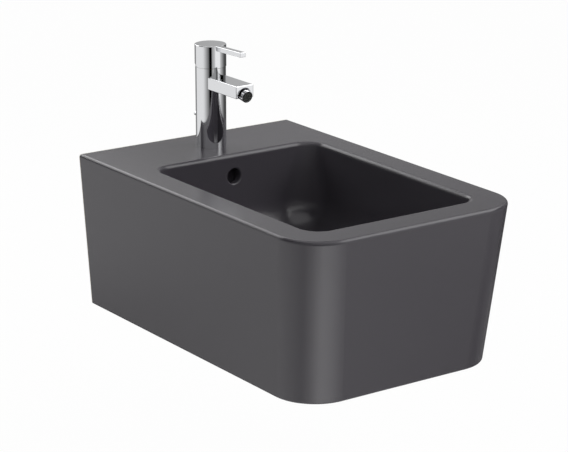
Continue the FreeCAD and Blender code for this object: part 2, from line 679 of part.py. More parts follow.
def lift_cuts():
    """The lift rod's bore up the back of the mixer, and the upright slot that its knob runs in."""
    bore_top = KNOB_Z + LIFT_TRAVEL + LIFT_HEAD_HEIGHT / 2 + FREE_GAP
    bore = rod(LIFT_BORE, Vector(0, LIFT_Y, SPIGOT_Z - PAST), Vector(0, LIFT_Y, bore_top))
    half = KNOB_PIN / 2 + FREE_GAP
    back = MIXER_Y + MIXER_DIAMETER / 2 + PAST
    slot = block((-half, half), (LIFT_Y, back), (KNOB_Z, KNOB_Z + LIFT_TRAVEL))
    foot = rod(2 * half, Vector(0, LIFT_Y, KNOB_Z), Vector(0, back, KNOB_Z))
    top = foot.translated(UP * LIFT_TRAVEL)
    return [bore, slot, foot, top]


def nozzle_cuts():
    """The pocket that the nozzle swivels in, the ball stud's seat, and the channel that feeds it."""
    pocket = Part.makeSphere(POCKET_DIAMETER / 2, BALL_CENTRE)
    mouth = rod(POCKET_DIAMETER, BALL_CENTRE, on_nozzle_line(NOZZLE_LENGTH + POCKET_DIAMETER))
    seat = rod(BALL_SHOULDER + 2 * FIT_GAP, on_nozzle_line(-BALL_SHOULDER_BACK), BALL_CENTRE)
    thread_end = BALL_SHOULDER_BACK + BALL_THREAD_LENGTH + PAST
    thread = rod(BALL_THREAD + 2 * FIT_GAP, on_nozzle_line(-thread_end), BALL_CENTRE)
    tilted = [along_nozzle(shape) for shape in (pocket, mouth, seat, thread)]
    slope = math.radians(NOZZLE_TILT)
    channel_z = BALL_CENTRE.z + thread_end * math.sin(slope)
    channel_end = BALL_CENTRE.y + thread_end * math.cos(slope)
    channel = rod(CHANNEL_DIAMETER, Vector(0, MIXER_Y, channel_z),
                  Vector(0, channel_end - PAST, channel_z))
    return tilted + [channel]


def mixer_gasket():
    """Rubber ring in the groove under the mixer."""
    foot = Vector(0, MIXER_Y, RIM_Z)
    outer = MIXER_DIAMETER - 2 * GASKET_MARGIN
    return tube(outer, outer - 2 * GASKET_WIDTH, foot, foot + UP * GASKET_HEIGHT)


def mixer_stud():
    """Threaded stud that holds the mixer down."""
    top = Vector(0, STUD_Y, SPIGOT_Z + STUD_GRIP)
    foot_z = DECK_UNDER_Z - CLAMP_GASKET - CLAMP_PLATE - CLAMP_NUT_HEIGHT - STUD_TAIL
    return rod(STUD_DIAMETER, Vector(0, STUD_Y, foot_z), top)


def horseshoe(top, thickness):
    """A horseshoe under the deck, open to the back for the hoses and the lift rod."""
    centre = Vector(0, MIXER_Y, top)
    plate = rod(CLAMP_DIAMETER, centre - UP * thickness, centre)
    slot_front = STUD_Y + STUD_DIAMETER
    half = CLAMP_SLOT / 2
    slot = block((-half, half), (slot_front, MIXER_Y + CLAMP_DIAMETER), (top - thickness - PAST, top + PAST))
    stud = rod(STUD_DIAMETER + 2 * FIT_GAP, Vector(0, STUD_Y, top - thickness - PAST),
               Vector(0, STUD_Y, top + PAST))
    return plate.cut([slot, stud])


def clamp_gasket():
    """Rubber horseshoe against the ceramic."""
    return horseshoe(DECK_UNDER_Z, CLAMP_GASKET)


def clamp_plate():
    """Steel horseshoe under the rubber one."""
    return horseshoe(DECK_UNDER_Z - CLAMP_GASKET, CLAMP_PLATE)


def clamp_nut():
    """Nut on the mixer's stud."""
    base = Vector(0, STUD_Y, DECK_UNDER_Z - CLAMP_GASKET - CLAMP_PLATE)
    nut = hexagon(CLAMP_NUT, CLAMP_NUT_HEIGHT, base, -UP)
    return nut.cut(rod(STUD_DIAMETER + 2 * FIT_GAP, base + UP * PAST, base - UP * (CLAMP_NUT_HEIGHT + PAST)))


def inlet_points(height):
    """The two water inlets at one height."""
    return [Vector(side * INLET_SPACING / 2, INLET_Y, height) for side in (-1, 1)]


def outlet_cut(low, high):
    """The mixed water's way down through the discs, in front of the axis."""
    start = Vector(0, MIXER_Y - INLET_SPACING / 2, low)
    return rod(WATERWAY_DIAMETER, start, Vector(start.x, start.y, high))


def cartridge_base():
    """Plastic base with the two inlets, and the outlet that opens at its front edge."""
    centre = Vector(0, MIXER_Y, CHAMBER_Z)
    radius = CHAMBER_DIAMETER / 2 - CARTRIDGE_SIDE_GAP
    base = rod(2 * radius, centre, centre + UP * CARTRIDGE_BASE)
    half = WATERWAY_DIAMETER / 2
    outlet = block((-half, half), (MIXER_Y - radius - PAST, MIXER_Y - INLET_SPACING / 2),
                   (BASE_TOP_Z - CARTRIDGE_BASE / 2, BASE_TOP_Z + PAST))
    cuts = [outlet, outlet_cut(BASE_TOP_Z - CARTRIDGE_BASE / 2, BASE_TOP_Z + PAST)]
    seal = WATERWAY_DIAMETER + 2 * BASE_SEAL_WIDTH + 4 * FIT_GAP
    for inlet in inlet_points(CHAMBER_Z):
        cuts.append(rod(WATERWAY_DIAMETER, inlet - UP * PAST, inlet + UP * (CARTRIDGE_BASE + PAST)))
        cuts.append(rod(seal, inlet - UP * PAST, inlet + UP * BASE_SEAL_HEIGHT))
    return base.cut(cuts)


def cartridge_base_seals():
    """Two rubber rings that seal the base on the chamber's floor."""
    rings = []
    bore = WATERWAY_DIAMETER + 2 * FIT_GAP
    for inlet in inlet_points(CHAMBER_Z):
        rings.append(tube(bore + 2 * BASE_SEAL_WIDTH, bore, inlet, inlet + UP * BASE_SEAL_HEIGHT))
    return Part.makeCompound(rings)


def fixed_disc():
    """Lower ceramic disc, held in the housing."""
    centre = Vector(0, MIXER_Y, BASE_TOP_Z)
    disc = rod(2 * (HOUSING_BORE - FIT_GAP), centre, centre + UP * DISC_THICKNESS)
    cuts = [outlet_cut(BASE_TOP_Z - PAST, FIXED_DISC_TOP_Z + PAST)]
    for inlet in inlet_points(BASE_TOP_Z):
        cuts.append(rod(WATERWAY_DIAMETER, inlet - UP * PAST, inlet + UP * (DISC_THICKNESS + PAST)))
    return disc.cut(cuts)


def moving_disc():
    """Upper ceramic disc, hollowed below to join the ports, with the block that the stem pushes."""
    centre = Vector(0, MIXER_Y, MOVING_DISC_Z)
    disc = rod(MOVING_DISC, centre, centre + UP * DISC_THICKNESS)
    half = DRIVE_BLOCK / 2
    drive = block((-half, half), (MIXER_Y - half, MIXER_Y + half), (MOVING_DISC_TOP_Z - PAST, DRIVE_TOP_Z))
    hollow = rod(DISC_HOLLOW, centre - UP * PAST, centre + UP * DISC_THICKNESS / 2)
    pocket_x = STEM_TIP / 2 + FREE_GAP
    pocket_y = STEM_TIP / 2 + STEM_TIP_ROOM
    pocket = block((-pocket_x, pocket_x), (MIXER_Y - pocket_y, MIXER_Y + pocket_y),
                   (MOVING_DISC_TOP_Z - PAST / 2, DRIVE_TOP_Z + PAST))
    return disc.fuse(drive).removeSplitter().cut([hollow, pocket])


def cartridge_housing():
    """Plastic shell round the discs, with the flange that the nut presses on."""
    flange_z = HOUSING_TOP_Z - HOUSING_FLANGE
    flange_radius = CHAMBER_DIAMETER / 2 - FIT_GAP
    roof_z = CARRIER_TOP_Z + FIT_GAP
    profile = [(HOUSING_BORE, BASE_TOP_Z), (HOUSING_RADIUS, BASE_TOP_Z), (HOUSING_RADIUS, flange_z),
               (flange_radius, flange_z), (flange_radius, HOUSING_TOP_Z),
               (NECK_DIAMETER / 2 + RUN_GAP, HOUSING_TOP_Z), (NECK_DIAMETER / 2 + RUN_GAP, roof_z),
               (HOUSING_BORE, roof_z)]
    return turned(profile, MIXER_Y)


def cartridge_o_ring():
    """Rubber ring that closes the chamber above the housing's water way."""
    top = Vector(0, MIXER_Y, HOUSING_TOP_Z - HOUSING_FLANGE)
    bore = 2 * (HOUSING_RADIUS + FIT_GAP)
    return tube(CHAMBER_DIAMETER - 2 * FIT_GAP, bore, top - UP * CARTRIDGE_RING, top)


def cartridge_carrier():
    """Plastic rotor that turns with the handle and guides the moving disc."""
    foot = Vector(0, MIXER_Y, MOVING_DISC_TOP_Z + FIT_GAP)
    shoulder = Vector(0, MIXER_Y, CARRIER_TOP_Z)
    neck_top = Vector(0, MIXER_Y, HOUSING_TOP_Z + NECK_ABOVE_HOUSING)
    rotor = rod(2 * (HOUSING_BORE - FREE_GAP), foot, shoulder)
    rotor = rotor.fuse(rod(NECK_DIAMETER, foot, neck_top)).removeSplitter()
    half = DRIVE_BLOCK / 2 + FREE_GAP
    drive = block((-half, half), (MIXER_Y - half - DISC_SHIFT, MIXER_Y + half),
                  (foot.z - PAST, DRIVE_TOP_Z + FREE_GAP))
    half_x = STEM_SIZE / 2 + RUN_GAP
    above = neck_top.z - PIVOT_Z
    half_y = STEM_SIZE / 2 / math.cos(LIFT_RADIANS) + above * math.tan(LIFT_RADIANS) + FREE_GAP
    slot = block((-half_x, half_x), (MIXER_Y - half_y, MIXER_Y + half_y), (foot.z - PAST, neck_top.z + PAST))
    pin = rod(PIVOT_PIN + 2 * FIT_GAP, Vector(-NECK_DIAMETER, MIXER_Y, PIVOT_Z),
              Vector(NECK_DIAMETER, MIXER_Y, PIVOT_Z))
    return rotor.cut([drive, slot, pin])


def stem_pin():
    """Steel pin that the stem tips on."""
    half = NECK_DIAMETER / 2 - FREE_GAP
    return rod(PIVOT_PIN, Vector(-half, MIXER_Y, PIVOT_Z), Vector(half, MIXER_Y, PIVOT_Z))


def cartridge_stem():
    """Brass stem: a square shank for the handle above the pin, a round tip in the disc below it."""
    half = STEM_SIZE / 2
    shank = block((-half, half), (MIXER_Y - half, MIXER_Y + half), (PIVOT_Z - half, STEM_TOP_Z))
    tip_z = MOVING_DISC_TOP_Z + FREE_GAP
    tip = rod(STEM_TIP, Vector(0, MIXER_Y, tip_z), Vector(0, MIXER_Y, PIVOT_Z))
    pin = rod(PIVOT_PIN + 2 * RUN_GAP, Vector(-STEM_SIZE, MIXER_Y, PIVOT_Z),
              Vector(STEM_SIZE, MIXER_Y, PIVOT_Z))
    return shank.fuse(tip).removeSplitter().cut(pin)


def cartridge_nut():
    """Brass ring nut that holds the cartridge down."""
    foot = Vector(0, MIXER_Y, HOUSING_TOP_Z)
    return tube(CHAMBER_DIAMETER - 2 * FIT_GAP, NUT_BORE, foot, foot + UP * CARTRIDGE_NUT)


def handle():
    """Chromed handle: a cap over the cartridge with a flat lever, cut away behind so that it can tip."""
    foot = Vector(0, MIXER_Y, HANDLE_Z)
    cap = rod(HANDLE_DIAMETER, foot, foot + UP * HANDLE_HEIGHT)
    cap = cap.makeFillet(HANDLE_EDGE, edges_at_height(cap, HANDLE_TOP_Z)[:1])
    root = MIXER_Y - STEM_BOSS / 2
    end = MIXER_Y - LEVER_REACH
    root_top = HANDLE_TOP_Z - HANDLE_EDGE / 2 + LEVER_RISE * STEM_BOSS / 2 / LEVER_REACH
    end_top = HANDLE_TOP_Z + LEVER_RISE
    profile = [(root, root_top), (root, root_top - LEVER_THICKNESS),
               (end, end_top - LEVER_THICKNESS), (end, end_top)]
    lever = softened_bar((-LEVER_WIDTH / 2, LEVER_WIDTH / 2), profile, LEVER_EDGE)
    inner = HANDLE_DIAMETER - 2 * HANDLE_WALL
    roof = Vector(0, MIXER_Y, HANDLE_ROOF_Z)
    boss_foot = Vector(0, MIXER_Y, HANDLE_Z + BOSS_ABOVE_JOINT)
    hollow = rod(inner, foot - UP * PAST, roof)
    hollow = hollow.cut(rod(STEM_BOSS, boss_foot, roof + UP * PAST))
    half = STEM_SIZE / 2 + FIT_GAP
    socket = block((-half, half), (MIXER_Y - half, MIXER_Y + half), (HANDLE_Z - PAST, STEM_TOP_Z + FIT_GAP))
    screw_z = HANDLE_Z + SCREW_ABOVE_JOINT
    back = HANDLE_DIAMETER / 2 + PAST
    screw = rod(SCREW_DIAMETER + 2 * FIT_GAP, Vector(0, MIXER_Y, screw_z), Vector(0, MIXER_Y + back, screw_z))
    plug_root = Vector(0, MIXER_Y + HANDLE_DIAMETER / 2 - INDEX_PLUG_DEPTH, screw_z)
    plug = rod(INDEX_PLUG + 2 * FIT_GAP, plug_root, Vector(0, MIXER_Y + back, screw_z))
    return cap.fuse(lever).removeSplitter().cut([hollow, socket, screw, plug, rear_bevel(back)])


def rear_bevel(back):
    """The wedge cut from the handle's foot behind its axis, which the handle tips into."""
    start = MIXER_Y - max(BEVEL_AHEAD, 0)
    end = MIXER_Y + back
    rise = (end - start) * math.tan(math.radians(HANDLE_LIFT + BEVEL_MARGIN))
    corners = [Vector(-back, start, HANDLE_Z), Vector(-back, start, HANDLE_Z - PAST),
               Vector(-back, end, HANDLE_Z - PAST), Vector(-back, end, HANDLE_Z + rise)]
    return Part.Face(Part.makePolygon(corners + corners[:1])).extrude(RIGHT * 2 * back)


def handle_screw():
    """Set screw that grips the stem through the handle's boss."""
    start = Vector(0, MIXER_Y + STEM_SIZE / 2 + FIT_GAP, HANDLE_Z + SCREW_ABOVE_JOINT)
    return rod(SCREW_DIAMETER, start, start + BACK * SCREW_LENGTH)


def index_plug():
    """Plastic button that covers the set screw's hole, trimmed to the handle's curve."""
    axis_z = HANDLE_Z + SCREW_ABOVE_JOINT
    root = Vector(0, MIXER_Y + HANDLE_DIAMETER / 2 - INDEX_PLUG_DEPTH, axis_z)
    button = rod(INDEX_PLUG, root, root + BACK * (INDEX_PLUG_DEPTH + PAST))
    cap = rod(HANDLE_DIAMETER, Vector(0, MIXER_Y, HANDLE_Z), Vector(0, MIXER_Y, HANDLE_TOP_Z))
    return button.common(cap)


def ball_stud():
    """Hollow brass stud in the spout, with the ball that the nozzle swivels on."""
    ball = Part.makeSphere(BALL_DIAMETER / 2, BALL_CENTRE)
    back = BALL_SHOULDER_BACK
    shoulder_front = on_nozzle_line(BALL_SHOULDER_THICKNESS - back)
    neck = rod(BALL_NECK, on_nozzle_line(-back), BALL_CENTRE)
    shoulder = rod(BALL_SHOULDER, on_nozzle_line(-back), shoulder_front)
    thread_end = on_nozzle_line(-back - BALL_THREAD_LENGTH)
    thread = rod(BALL_THREAD, thread_end, on_nozzle_line(-back))
    stud = ball.fuse([neck, shoulder, thread]).removeSplitter()
    bore = rod(BALL_BORE, thread_end + BACK * PAST, on_nozzle_line(BALL_DIAMETER))
    return along_nozzle(stud.cut(bore))


def ball_seat_ring():
    """Slippery plastic ring between the ball and the nozzle, round on both faces."""
    shell = Part.makeSphere(SEAT_RADIUS + SEAT_RING_WALL, BALL_CENTRE)
    shell = shell.cut(Part.makeSphere(SEAT_RADIUS, BALL_CENTRE))
    slice_of_shell = rod(POCKET_DIAMETER, on_nozzle_line(-SEAT_RING_BACK), on_nozzle_line(SEAT_RING_FRONT))
    return along_nozzle(shell.common(slice_of_shell))


def nozzle():
    """Chromed nozzle: a sleeve that ends in a round tail behind the ball."""
    end = on_nozzle_line(NOZZLE_LENGTH)
    barrel = rod(NOZZLE_DIAMETER, BALL_CENTRE, end)
    barrel = barrel.makeFillet(FREE_GAP, [barrel.Edges[index] for index in end_circle(barrel, end)])
    dome = Part.makeSphere(NOZZLE_DIAMETER / 2, BALL_CENTRE)
    tail = rod(NOZZLE_DIAMETER + PAST, on_nozzle_line(-NOZZLE_TAIL), BALL_CENTRE)
    sleeve = barrel.fuse(dome.common(tail)).removeSplitter()
    seat_back = on_nozzle_line(NOZZLE_LENGTH - AERATOR_RECESS - AERATOR_THICKNESS)
    cuts = [
        Part.makeSphere(SOCKET_RADIUS, BALL_CENTRE),
        rod(2 * SOCKET_RADIUS, BALL_CENTRE, seat_back - BACK * FIT_GAP),
        rod(AERATOR_DIAMETER + 2 * FIT_GAP, seat_back, end - BACK * PAST),
        rod(NOZZLE_MOUTH, on_nozzle_line(-NOZZLE_DIAMETER), BALL_CENTRE),
    ]
    return along_nozzle(sleeve.cut(cuts))


def end_circle(bar, point):
    """The indices of a bar's edges that are centred on a point."""
    return [index for index, edge in enumerate(bar.Edges)
            if hasattr(edge.Curve, "Center") and edge.Curve.Center.isEqual(point, 1e-6)]


def aerator_insert():
    """Plastic insert with rings of small holes for the water."""
    front = on_nozzle_line(NOZZLE_LENGTH - AERATOR_RECESS)
    back = front + BACK * AERATOR_THICKNESS
    jets = [rod(AERATOR_JET, front - BACK * PAST, back + BACK * PAST)]
    for ring in (1, 2):
        for jet in range(6 * ring):
            angle = math.radians(60 * jet / ring)
            offset = Vector(math.cos(angle), 0, math.sin(angle)) * ring * JET_RING_STEP
            jets.append(jets[0].translated(offset))
    return along_nozzle(rod(AERATOR_DIAMETER, back, front).cut(jets))


def lift_knob():
    """Chromed knob behind the mixer, screwed into the lift rod's head by its pin."""
    root = Vector(0, MIXER_Y + KNOB_BEHIND, KNOB_Z)
    end = root + BACK * KNOB_LENGTH
    knob = rod(KNOB_DIAMETER, root, end)
    knob = knob.makeFillet(KNOB_EDGE, [knob.Edges[index] for index in end_circle(knob, end)])
    return knob.fuse(rod(KNOB_PIN, Vector(0, LIFT_Y, KNOB_Z), root)).removeSplitter()


def lift_rod():
    """Rod from the knob down to the strap, thicker at the head that guides it in the mixer."""
    head_top = Vector(0, LIFT_Y, KNOB_Z + LIFT_HEAD_HEIGHT / 2)
    head = rod(LIFT_HEAD, head_top - UP * LIFT_HEAD_HEIGHT, head_top)
    foot = Vector(0, LIFT_Y, strap_top() - STRAP_CLAMP - LIFT_ROD_TAIL)
    pin_start = Vector(0, LIFT_Y, KNOB_Z)
    pin = rod(KNOB_PIN + 2 * FIT_GAP, pin_start - BACK * FIT_GAP, pin_start + BACK * LIFT_HEAD)
    return head.fuse(rod(LIFT_ROD, foot, head_top)).removeSplitter().cut(pin)


def strap_top():
    """The height of the link strap's top at rest."""
    return STRAP_HOLE_Z - STRAP_FOOT + STRAP_LENGTH


def strap_screw_z():
    """The height of the strap clamp's middle, where its screw is."""
    return strap_top() - STRAP_CLAMP / 2


def link_strap():
    """Flat steel strap that hangs on the lift rod, with a row of holes for the pivot rod."""
    half = STRAP_WIDTH / 2
    back = STRAP_Y + STRAP_THICKNESS
    strap = block((-half, half), (STRAP_Y, back), (STRAP_HOLE_Z - STRAP_FOOT, strap_top()))
    cuts = []
    hole_z = STRAP_HOLE_Z
    while hole_z < strap_top() - STRAP_CLAMP - LIFT_ROD_TAIL - STRAP_HOLE:
        cuts.append(rod(STRAP_HOLE, Vector(0, STRAP_Y - PAST, hole_z), Vector(0, back + PAST, hole_z)))
        hole_z += STRAP_HOLE_STEP
    screw = STRAP_SCREW + 2 * FIT_GAP
    screw_front = Vector(0, STRAP_Y - PAST, strap_screw_z())
    cuts.append(rod(screw, screw_front, Vector(0, back + PAST, strap_screw_z())))
    return strap.cut(cuts)


def strap_clamp():
    """Brass block that the lift rod passes through, screwed to the strap."""
    half = STRAP_CLAMP / 2
    top = strap_top()
    front = LIFT_Y - LIFT_ROD / 2 - FIT_GAP - STRAP_CLAMP_WALL
    clamp = block((-half, half), (front, STRAP_Y), (top - STRAP_CLAMP, top))
    rod_hole = rod(LIFT_ROD + 2 * FIT_GAP, Vector(0, LIFT_Y, top - STRAP_CLAMP - PAST),
                   Vector(0, LIFT_Y, top + PAST))
    screw = rod(STRAP_SCREW + 2 * FIT_GAP, Vector(0, LIFT_Y, strap_screw_z()),
                Vector(0, STRAP_Y + PAST, strap_screw_z()))
    return clamp.cut([rod_hole, screw])


def strap_screw():
    """Thumb screw through the strap that grips the lift rod."""
    start = Vector(0, LIFT_Y + LIFT_ROD / 2 + FIT_GAP / 2, strap_screw_z())
    seat = Vector(0, STRAP_Y + STRAP_THICKNESS, strap_screw_z())
    head = rod(STRAP_SCREW_HEAD, seat, seat + BACK * STRAP_SCREW_HEAD_HEIGHT)
    return head.fuse(rod(STRAP_SCREW, start, seat)).removeSplitter()


def pivot_rod():
    """Rod with a ball: its tip carries the plug, its other end runs back through the strap."""
    ball = Part.makeSphere(PIVOT_BALL / 2, PIVOT_CENTRE)
    slope = math.cos(math.radians(PIVOT_REST))
    front = PIVOT_CENTRE - BACK * ((PIVOT_REACH + PIVOT_TIP) / slope)
    back = PIVOT_CENTRE + BACK * ((PIVOT_ARM + PIVOT_END) / slope)
    bar = ball.fuse(rod(PIVOT_ROD, front, back)).removeSplitter()
    bar.rotate(PIVOT_CENTRE, RIGHT, -PIVOT_REST)
    return bar


def pivot_seal():
    """Rubber seat in front of the pivot ball."""
    front = PIVOT_CENTRE - BACK * PORT_SEAT
    ring = tube(PORT_BORE - 2 * FIT_GAP, PORT_THROAT, front, front + BACK * PIVOT_SEAL)
    return ring.cut(Part.makeSphere(PIVOT_BALL / 2 + RUN_GAP, PIVOT_CENTRE))


def pivot_nut():
    """Cap nut that keeps the pivot ball in the waste's side port."""
    end = PIVOT_CENTRE + BACK * PORT_END
    nut = rod(PIVOT_NUT, end - BACK * PIVOT_NUT_GRIP, end + BACK * PIVOT_NUT_WALL)
    thread = rod(PORT_DIAMETER + 2 * FIT_GAP, end - BACK * (PIVOT_NUT_GRIP + PAST), end)
    hole = rod(PIVOT_NUT_HOLE, end - BACK * PAST, end + BACK * (PIVOT_NUT_WALL + PAST))
    return nut.cut([thread, hole, Part.makeSphere(PIVOT_BALL / 2 + RUN_GAP, PIVOT_CENTRE)])


def waste_flange():
    """Chromed flange in the bowl's floor, with the threaded tube that goes down through the ceramic."""
    flange = FLANGE_DIAMETER / 2
    tube_radius = WASTE_TUBE / 2
    bore = tube_radius - WASTE_TUBE_WALL
    foot = SOCKET_FOOT_Z + FIT_GAP
    profile = [(bore, foot), (tube_radius, foot), (tube_radius, SEAL_Z), (flange, SEAL_Z),
               (flange, FLANGE_TOP_Z - FLANGE_EDGE), (flange - FLANGE_EDGE, FLANGE_TOP_Z),
               (WASTE_MOUTH / 2, FLANGE_TOP_Z), (bore, FLANGE_TOP_Z - WASTE_MOUTH_DEPTH)]
    body = turned(profile, DRAIN_Y)
    half = OVERFLOW_SLOT_WIDTH / 2
    slot_z = BOSS_FOOT_Z + DUCT_WALL
    slots = block((-half, half), (DRAIN_Y - WASTE_TUBE, DRAIN_Y + WASTE_TUBE),
                  (slot_z, slot_z + OVERFLOW_SLOT_HEIGHT))
    return body.cut(slots)


def flange_seal():
    """Rubber ring under the waste's flange."""
    foot = Vector(0, DRAIN_Y, RECESS_Z)
    return tube(FLANGE_DIAMETER - 2 * RECESS_MARGIN, DRAIN_HOLE, foot, foot + UP * FLANGE_SEAL)


def waste_gasket():
    """Thick rubber ring between the ceramic's boss and the waste body's collar."""
    foot = Vector(0, DRAIN_Y, COLLAR_Z)
    return tube(WASTE_COLLAR - 2 * FIT_GAP, WASTE_TUBE + 2 * FIT_GAP, foot, foot + UP * WASTE_GASKET)


def waste_body():
    """Waste body under the bowl: collar, threaded socket, chamber with the pivot's port, and tail."""
    socket_bore = WASTE_TUBE / 2 + FIT_GAP
    socket = socket_bore + WASTE_SOCKET_WALL
    chamber_bore = WASTE_CHAMBER / 2
    chamber = chamber_bore + WASTE_CHAMBER_WALL
    tail = TAIL_DIAMETER / 2
    step_z = CHAMBER_FOOT_Z + WASTE_CHAMBER_WALL
    foot_z = CHAMBER_FOOT_Z - TAIL_LENGTH
    profile = [(socket_bore, COLLAR_Z), (WASTE_COLLAR / 2, COLLAR_Z),
               (WASTE_COLLAR / 2, COLLAR_Z - WASTE_COLLAR_THICKNESS),
               (socket, COLLAR_Z - WASTE_COLLAR_THICKNESS), (socket, SOCKET_FOOT_Z), (chamber, SOCKET_FOOT_Z),
               (chamber, CHAMBER_FOOT_Z), (tail, CHAMBER_FOOT_Z), (tail, foot_z), (tail - TAIL_WALL, foot_z),
               (tail - TAIL_WALL, step_z), (chamber_bore, step_z), (chamber_bore, SOCKET_FOOT_Z),
               (socket_bore, SOCKET_FOOT_Z)]
    body = turned(profile, DRAIN_Y)
    wall = Vector(0, DRAIN_Y + chamber_bore + WASTE_CHAMBER_WALL / 2, PORT_Z)
    end = PIVOT_CENTRE + BACK * PORT_END
    port = rod(PORT_DIAMETER, wall, end)
    throat = rod(PORT_THROAT, Vector(0, DRAIN_Y, PORT_Z), PIVOT_CENTRE)
    bore = rod(PORT_BORE, PIVOT_CENTRE - BACK * PORT_SEAT, end + BACK * PAST)
    return body.fuse(port).removeSplitter().cut([throat, bore])


def plug_height():
    """The height of the raised plug's rim above the flange."""
    return FLANGE_TOP_Z + FREE_GAP + PLUG_TRAVEL


def waste_plug():
    """Pop-up plug: domed head, hub for its seal, guiding fins, and the eye that the pivot rod lifts."""
    rim = plug_height()
    seal_foot = rim - PLUG_SEAL_HEIGHT - 2 * FIT_GAP
    hub_foot = seal_foot - PLUG_FOOT_THICKNESS
    eye_z = PORT_Z + PIVOT_REACH * math.tan(math.radians(PIVOT_REST))
    stem = PLUG_STEM / 2
    profile = [(0, eye_z), (stem, eye_z), (stem, hub_foot), (PLUG_FOOT / 2, hub_foot),
               (PLUG_FOOT / 2, seal_foot), (PLUG_HUB / 2, seal_foot), (PLUG_HUB / 2, rim),
               (PLUG_DIAMETER / 2, rim),
               (PLUG_DIAMETER / 2, rim + PLUG_THICKNESS - PLUG_EDGE),
               (PLUG_DIAMETER / 2 - PLUG_EDGE, rim + PLUG_THICKNESS), (0, rim + PLUG_THICKNESS)]
    plug = turned(profile, DRAIN_Y)
    fin_reach = WASTE_TUBE / 2 - WASTE_TUBE_WALL - FREE_GAP
    fin = block((0, fin_reach), (DRAIN_Y - PLUG_FIN / 2, DRAIN_Y + PLUG_FIN / 2),
                (hub_foot - PLUG_FIN_HEIGHT, hub_foot))
    fins = []
    for turn in (90, 210, 330):
        blade = fin.copy()
        blade.rotate(Vector(0, DRAIN_Y, 0), UP, turn)
        fins.append(blade)
    half = PLUG_EYE_WIDTH / 2
    deep = PLUG_EYE_LENGTH / 2
    eye = block((-half, half), (DRAIN_Y - deep, DRAIN_Y + deep),
                (eye_z - PLUG_EYE_HEIGHT / 2, eye_z + PLUG_EYE_HEIGHT / 2))
    hole = rod(PLUG_EYE_HOLE, Vector(0, DRAIN_Y - deep - PAST, eye_z),
               Vector(0, DRAIN_Y + deep + PAST, eye_z))
    return plug.fuse(fins + [eye]).removeSplitter().cut(hole)


def plug_seal():
    """Rubber ring on the plug's hub."""
    top = Vector(0, DRAIN_Y, plug_height() - FIT_GAP)
    return tube(PLUG_SEAL, PLUG_HUB + 2 * FIT_GAP, top - UP * PLUG_SEAL_HEIGHT, top)


PIECES = (
    ceramic_body, wall_sleeves, wall_washers, wall_nuts,
    mixer_body, mixer_gasket, mixer_stud, clamp_gasket, clamp_plate, clamp_nut,
    cartridge_base, cartridge_base_seals, fixed_disc, moving_disc, cartridge_housing, cartridge_o_ring,
    cartridge_carrier, stem_pin, cartridge_stem, cartridge_nut,
    handle, handle_screw, index_plug,
    ball_stud, ball_seat_ring, nozzle, aerator_insert,
    lift_knob, lift_rod, link_strap, strap_clamp, strap_screw,
    pivot_rod, pivot_seal, pivot_nut,
    waste_flange, flange_seal, waste_gasket, waste_body, waste_plug, plug_seal,
)

os.makedirs("parts", exist_ok=True)
for piece in PIECES:
    shape = piece()
    shape.exportStep("parts/%s.step" % piece.__name__)
    print("%s: %d solids, %.0f mm3" % (piece.__name__, len(shape.Solids), shape.Volume))
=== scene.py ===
import math

import bpy
from bpy.props import FloatProperty, FloatVectorProperty, PointerProperty
from mathutils import Euler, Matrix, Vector


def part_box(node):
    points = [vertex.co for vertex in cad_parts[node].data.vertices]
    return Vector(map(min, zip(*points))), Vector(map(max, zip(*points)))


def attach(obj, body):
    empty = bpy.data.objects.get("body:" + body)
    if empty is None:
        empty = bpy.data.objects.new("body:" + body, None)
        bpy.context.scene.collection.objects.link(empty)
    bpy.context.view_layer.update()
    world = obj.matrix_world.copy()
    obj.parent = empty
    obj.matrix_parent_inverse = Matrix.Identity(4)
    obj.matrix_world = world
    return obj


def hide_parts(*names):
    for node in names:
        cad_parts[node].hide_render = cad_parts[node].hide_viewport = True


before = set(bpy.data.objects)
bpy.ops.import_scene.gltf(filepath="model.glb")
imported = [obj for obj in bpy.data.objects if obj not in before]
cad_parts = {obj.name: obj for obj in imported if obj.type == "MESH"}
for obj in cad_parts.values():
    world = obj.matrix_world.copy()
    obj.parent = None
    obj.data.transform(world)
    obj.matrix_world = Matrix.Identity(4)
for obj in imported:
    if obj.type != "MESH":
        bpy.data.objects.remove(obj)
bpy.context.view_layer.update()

bl_info = {
    "name": "Wall-hung bidet",
    "version": (1, 0, 0),
    "blender": (4, 5, 0),
    "location": "View3D > Sidebar > Bidet",
    "description": "Finishes and small parts of a wall-hung bidet and its mixer, around its CAD frame",
    "category": "Object",
}

MM = 0.001
RIM_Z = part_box("ceramic_body")[1].z


def linear(code):
    """Turn an sRGB hex colour into the linear values that a socket holds."""
    values = []
    for start in (1, 3, 5):
        share = int(code[start:start + 2], 16) / 255
        values.append(share / 12.92 if share <= 0.04045 else ((share + 0.055) / 1.055) ** 2.4)
    return values


def shade(colour, share=1.0):
    """A linear colour made darker or lighter by a share of itself, with full opacity."""
    return (*[min(channel * share, 1.0) for channel in colour], 1.0)


def per_size(millimetres):
    """The texture scale at which one feature measures this many millimetres."""
    return 1 / (millimetres * MM)


class CeramicLook(bpy.types.PropertyGroup):
    """Colour and gloss of the glazed body."""

    glaze: FloatVectorProperty(
        name="Glaze", description="Colour of the satin glaze", subtype="COLOR", default=linear("#4c494f"))
    biscuit: FloatVectorProperty(
        name="Biscuit", description="Colour of the bare fired clay", subtype="COLOR", default=linear("#cfc8ba"))
    roughness: FloatProperty(
        name="Roughness", description="How far the glaze spreads a reflection", subtype="FACTOR",
        default=0.25, min=0.0, max=1.0)
    peel: FloatProperty(
        name="Peel", description="Width of the glaze's faint waves", unit="LENGTH", default=9 * MM)


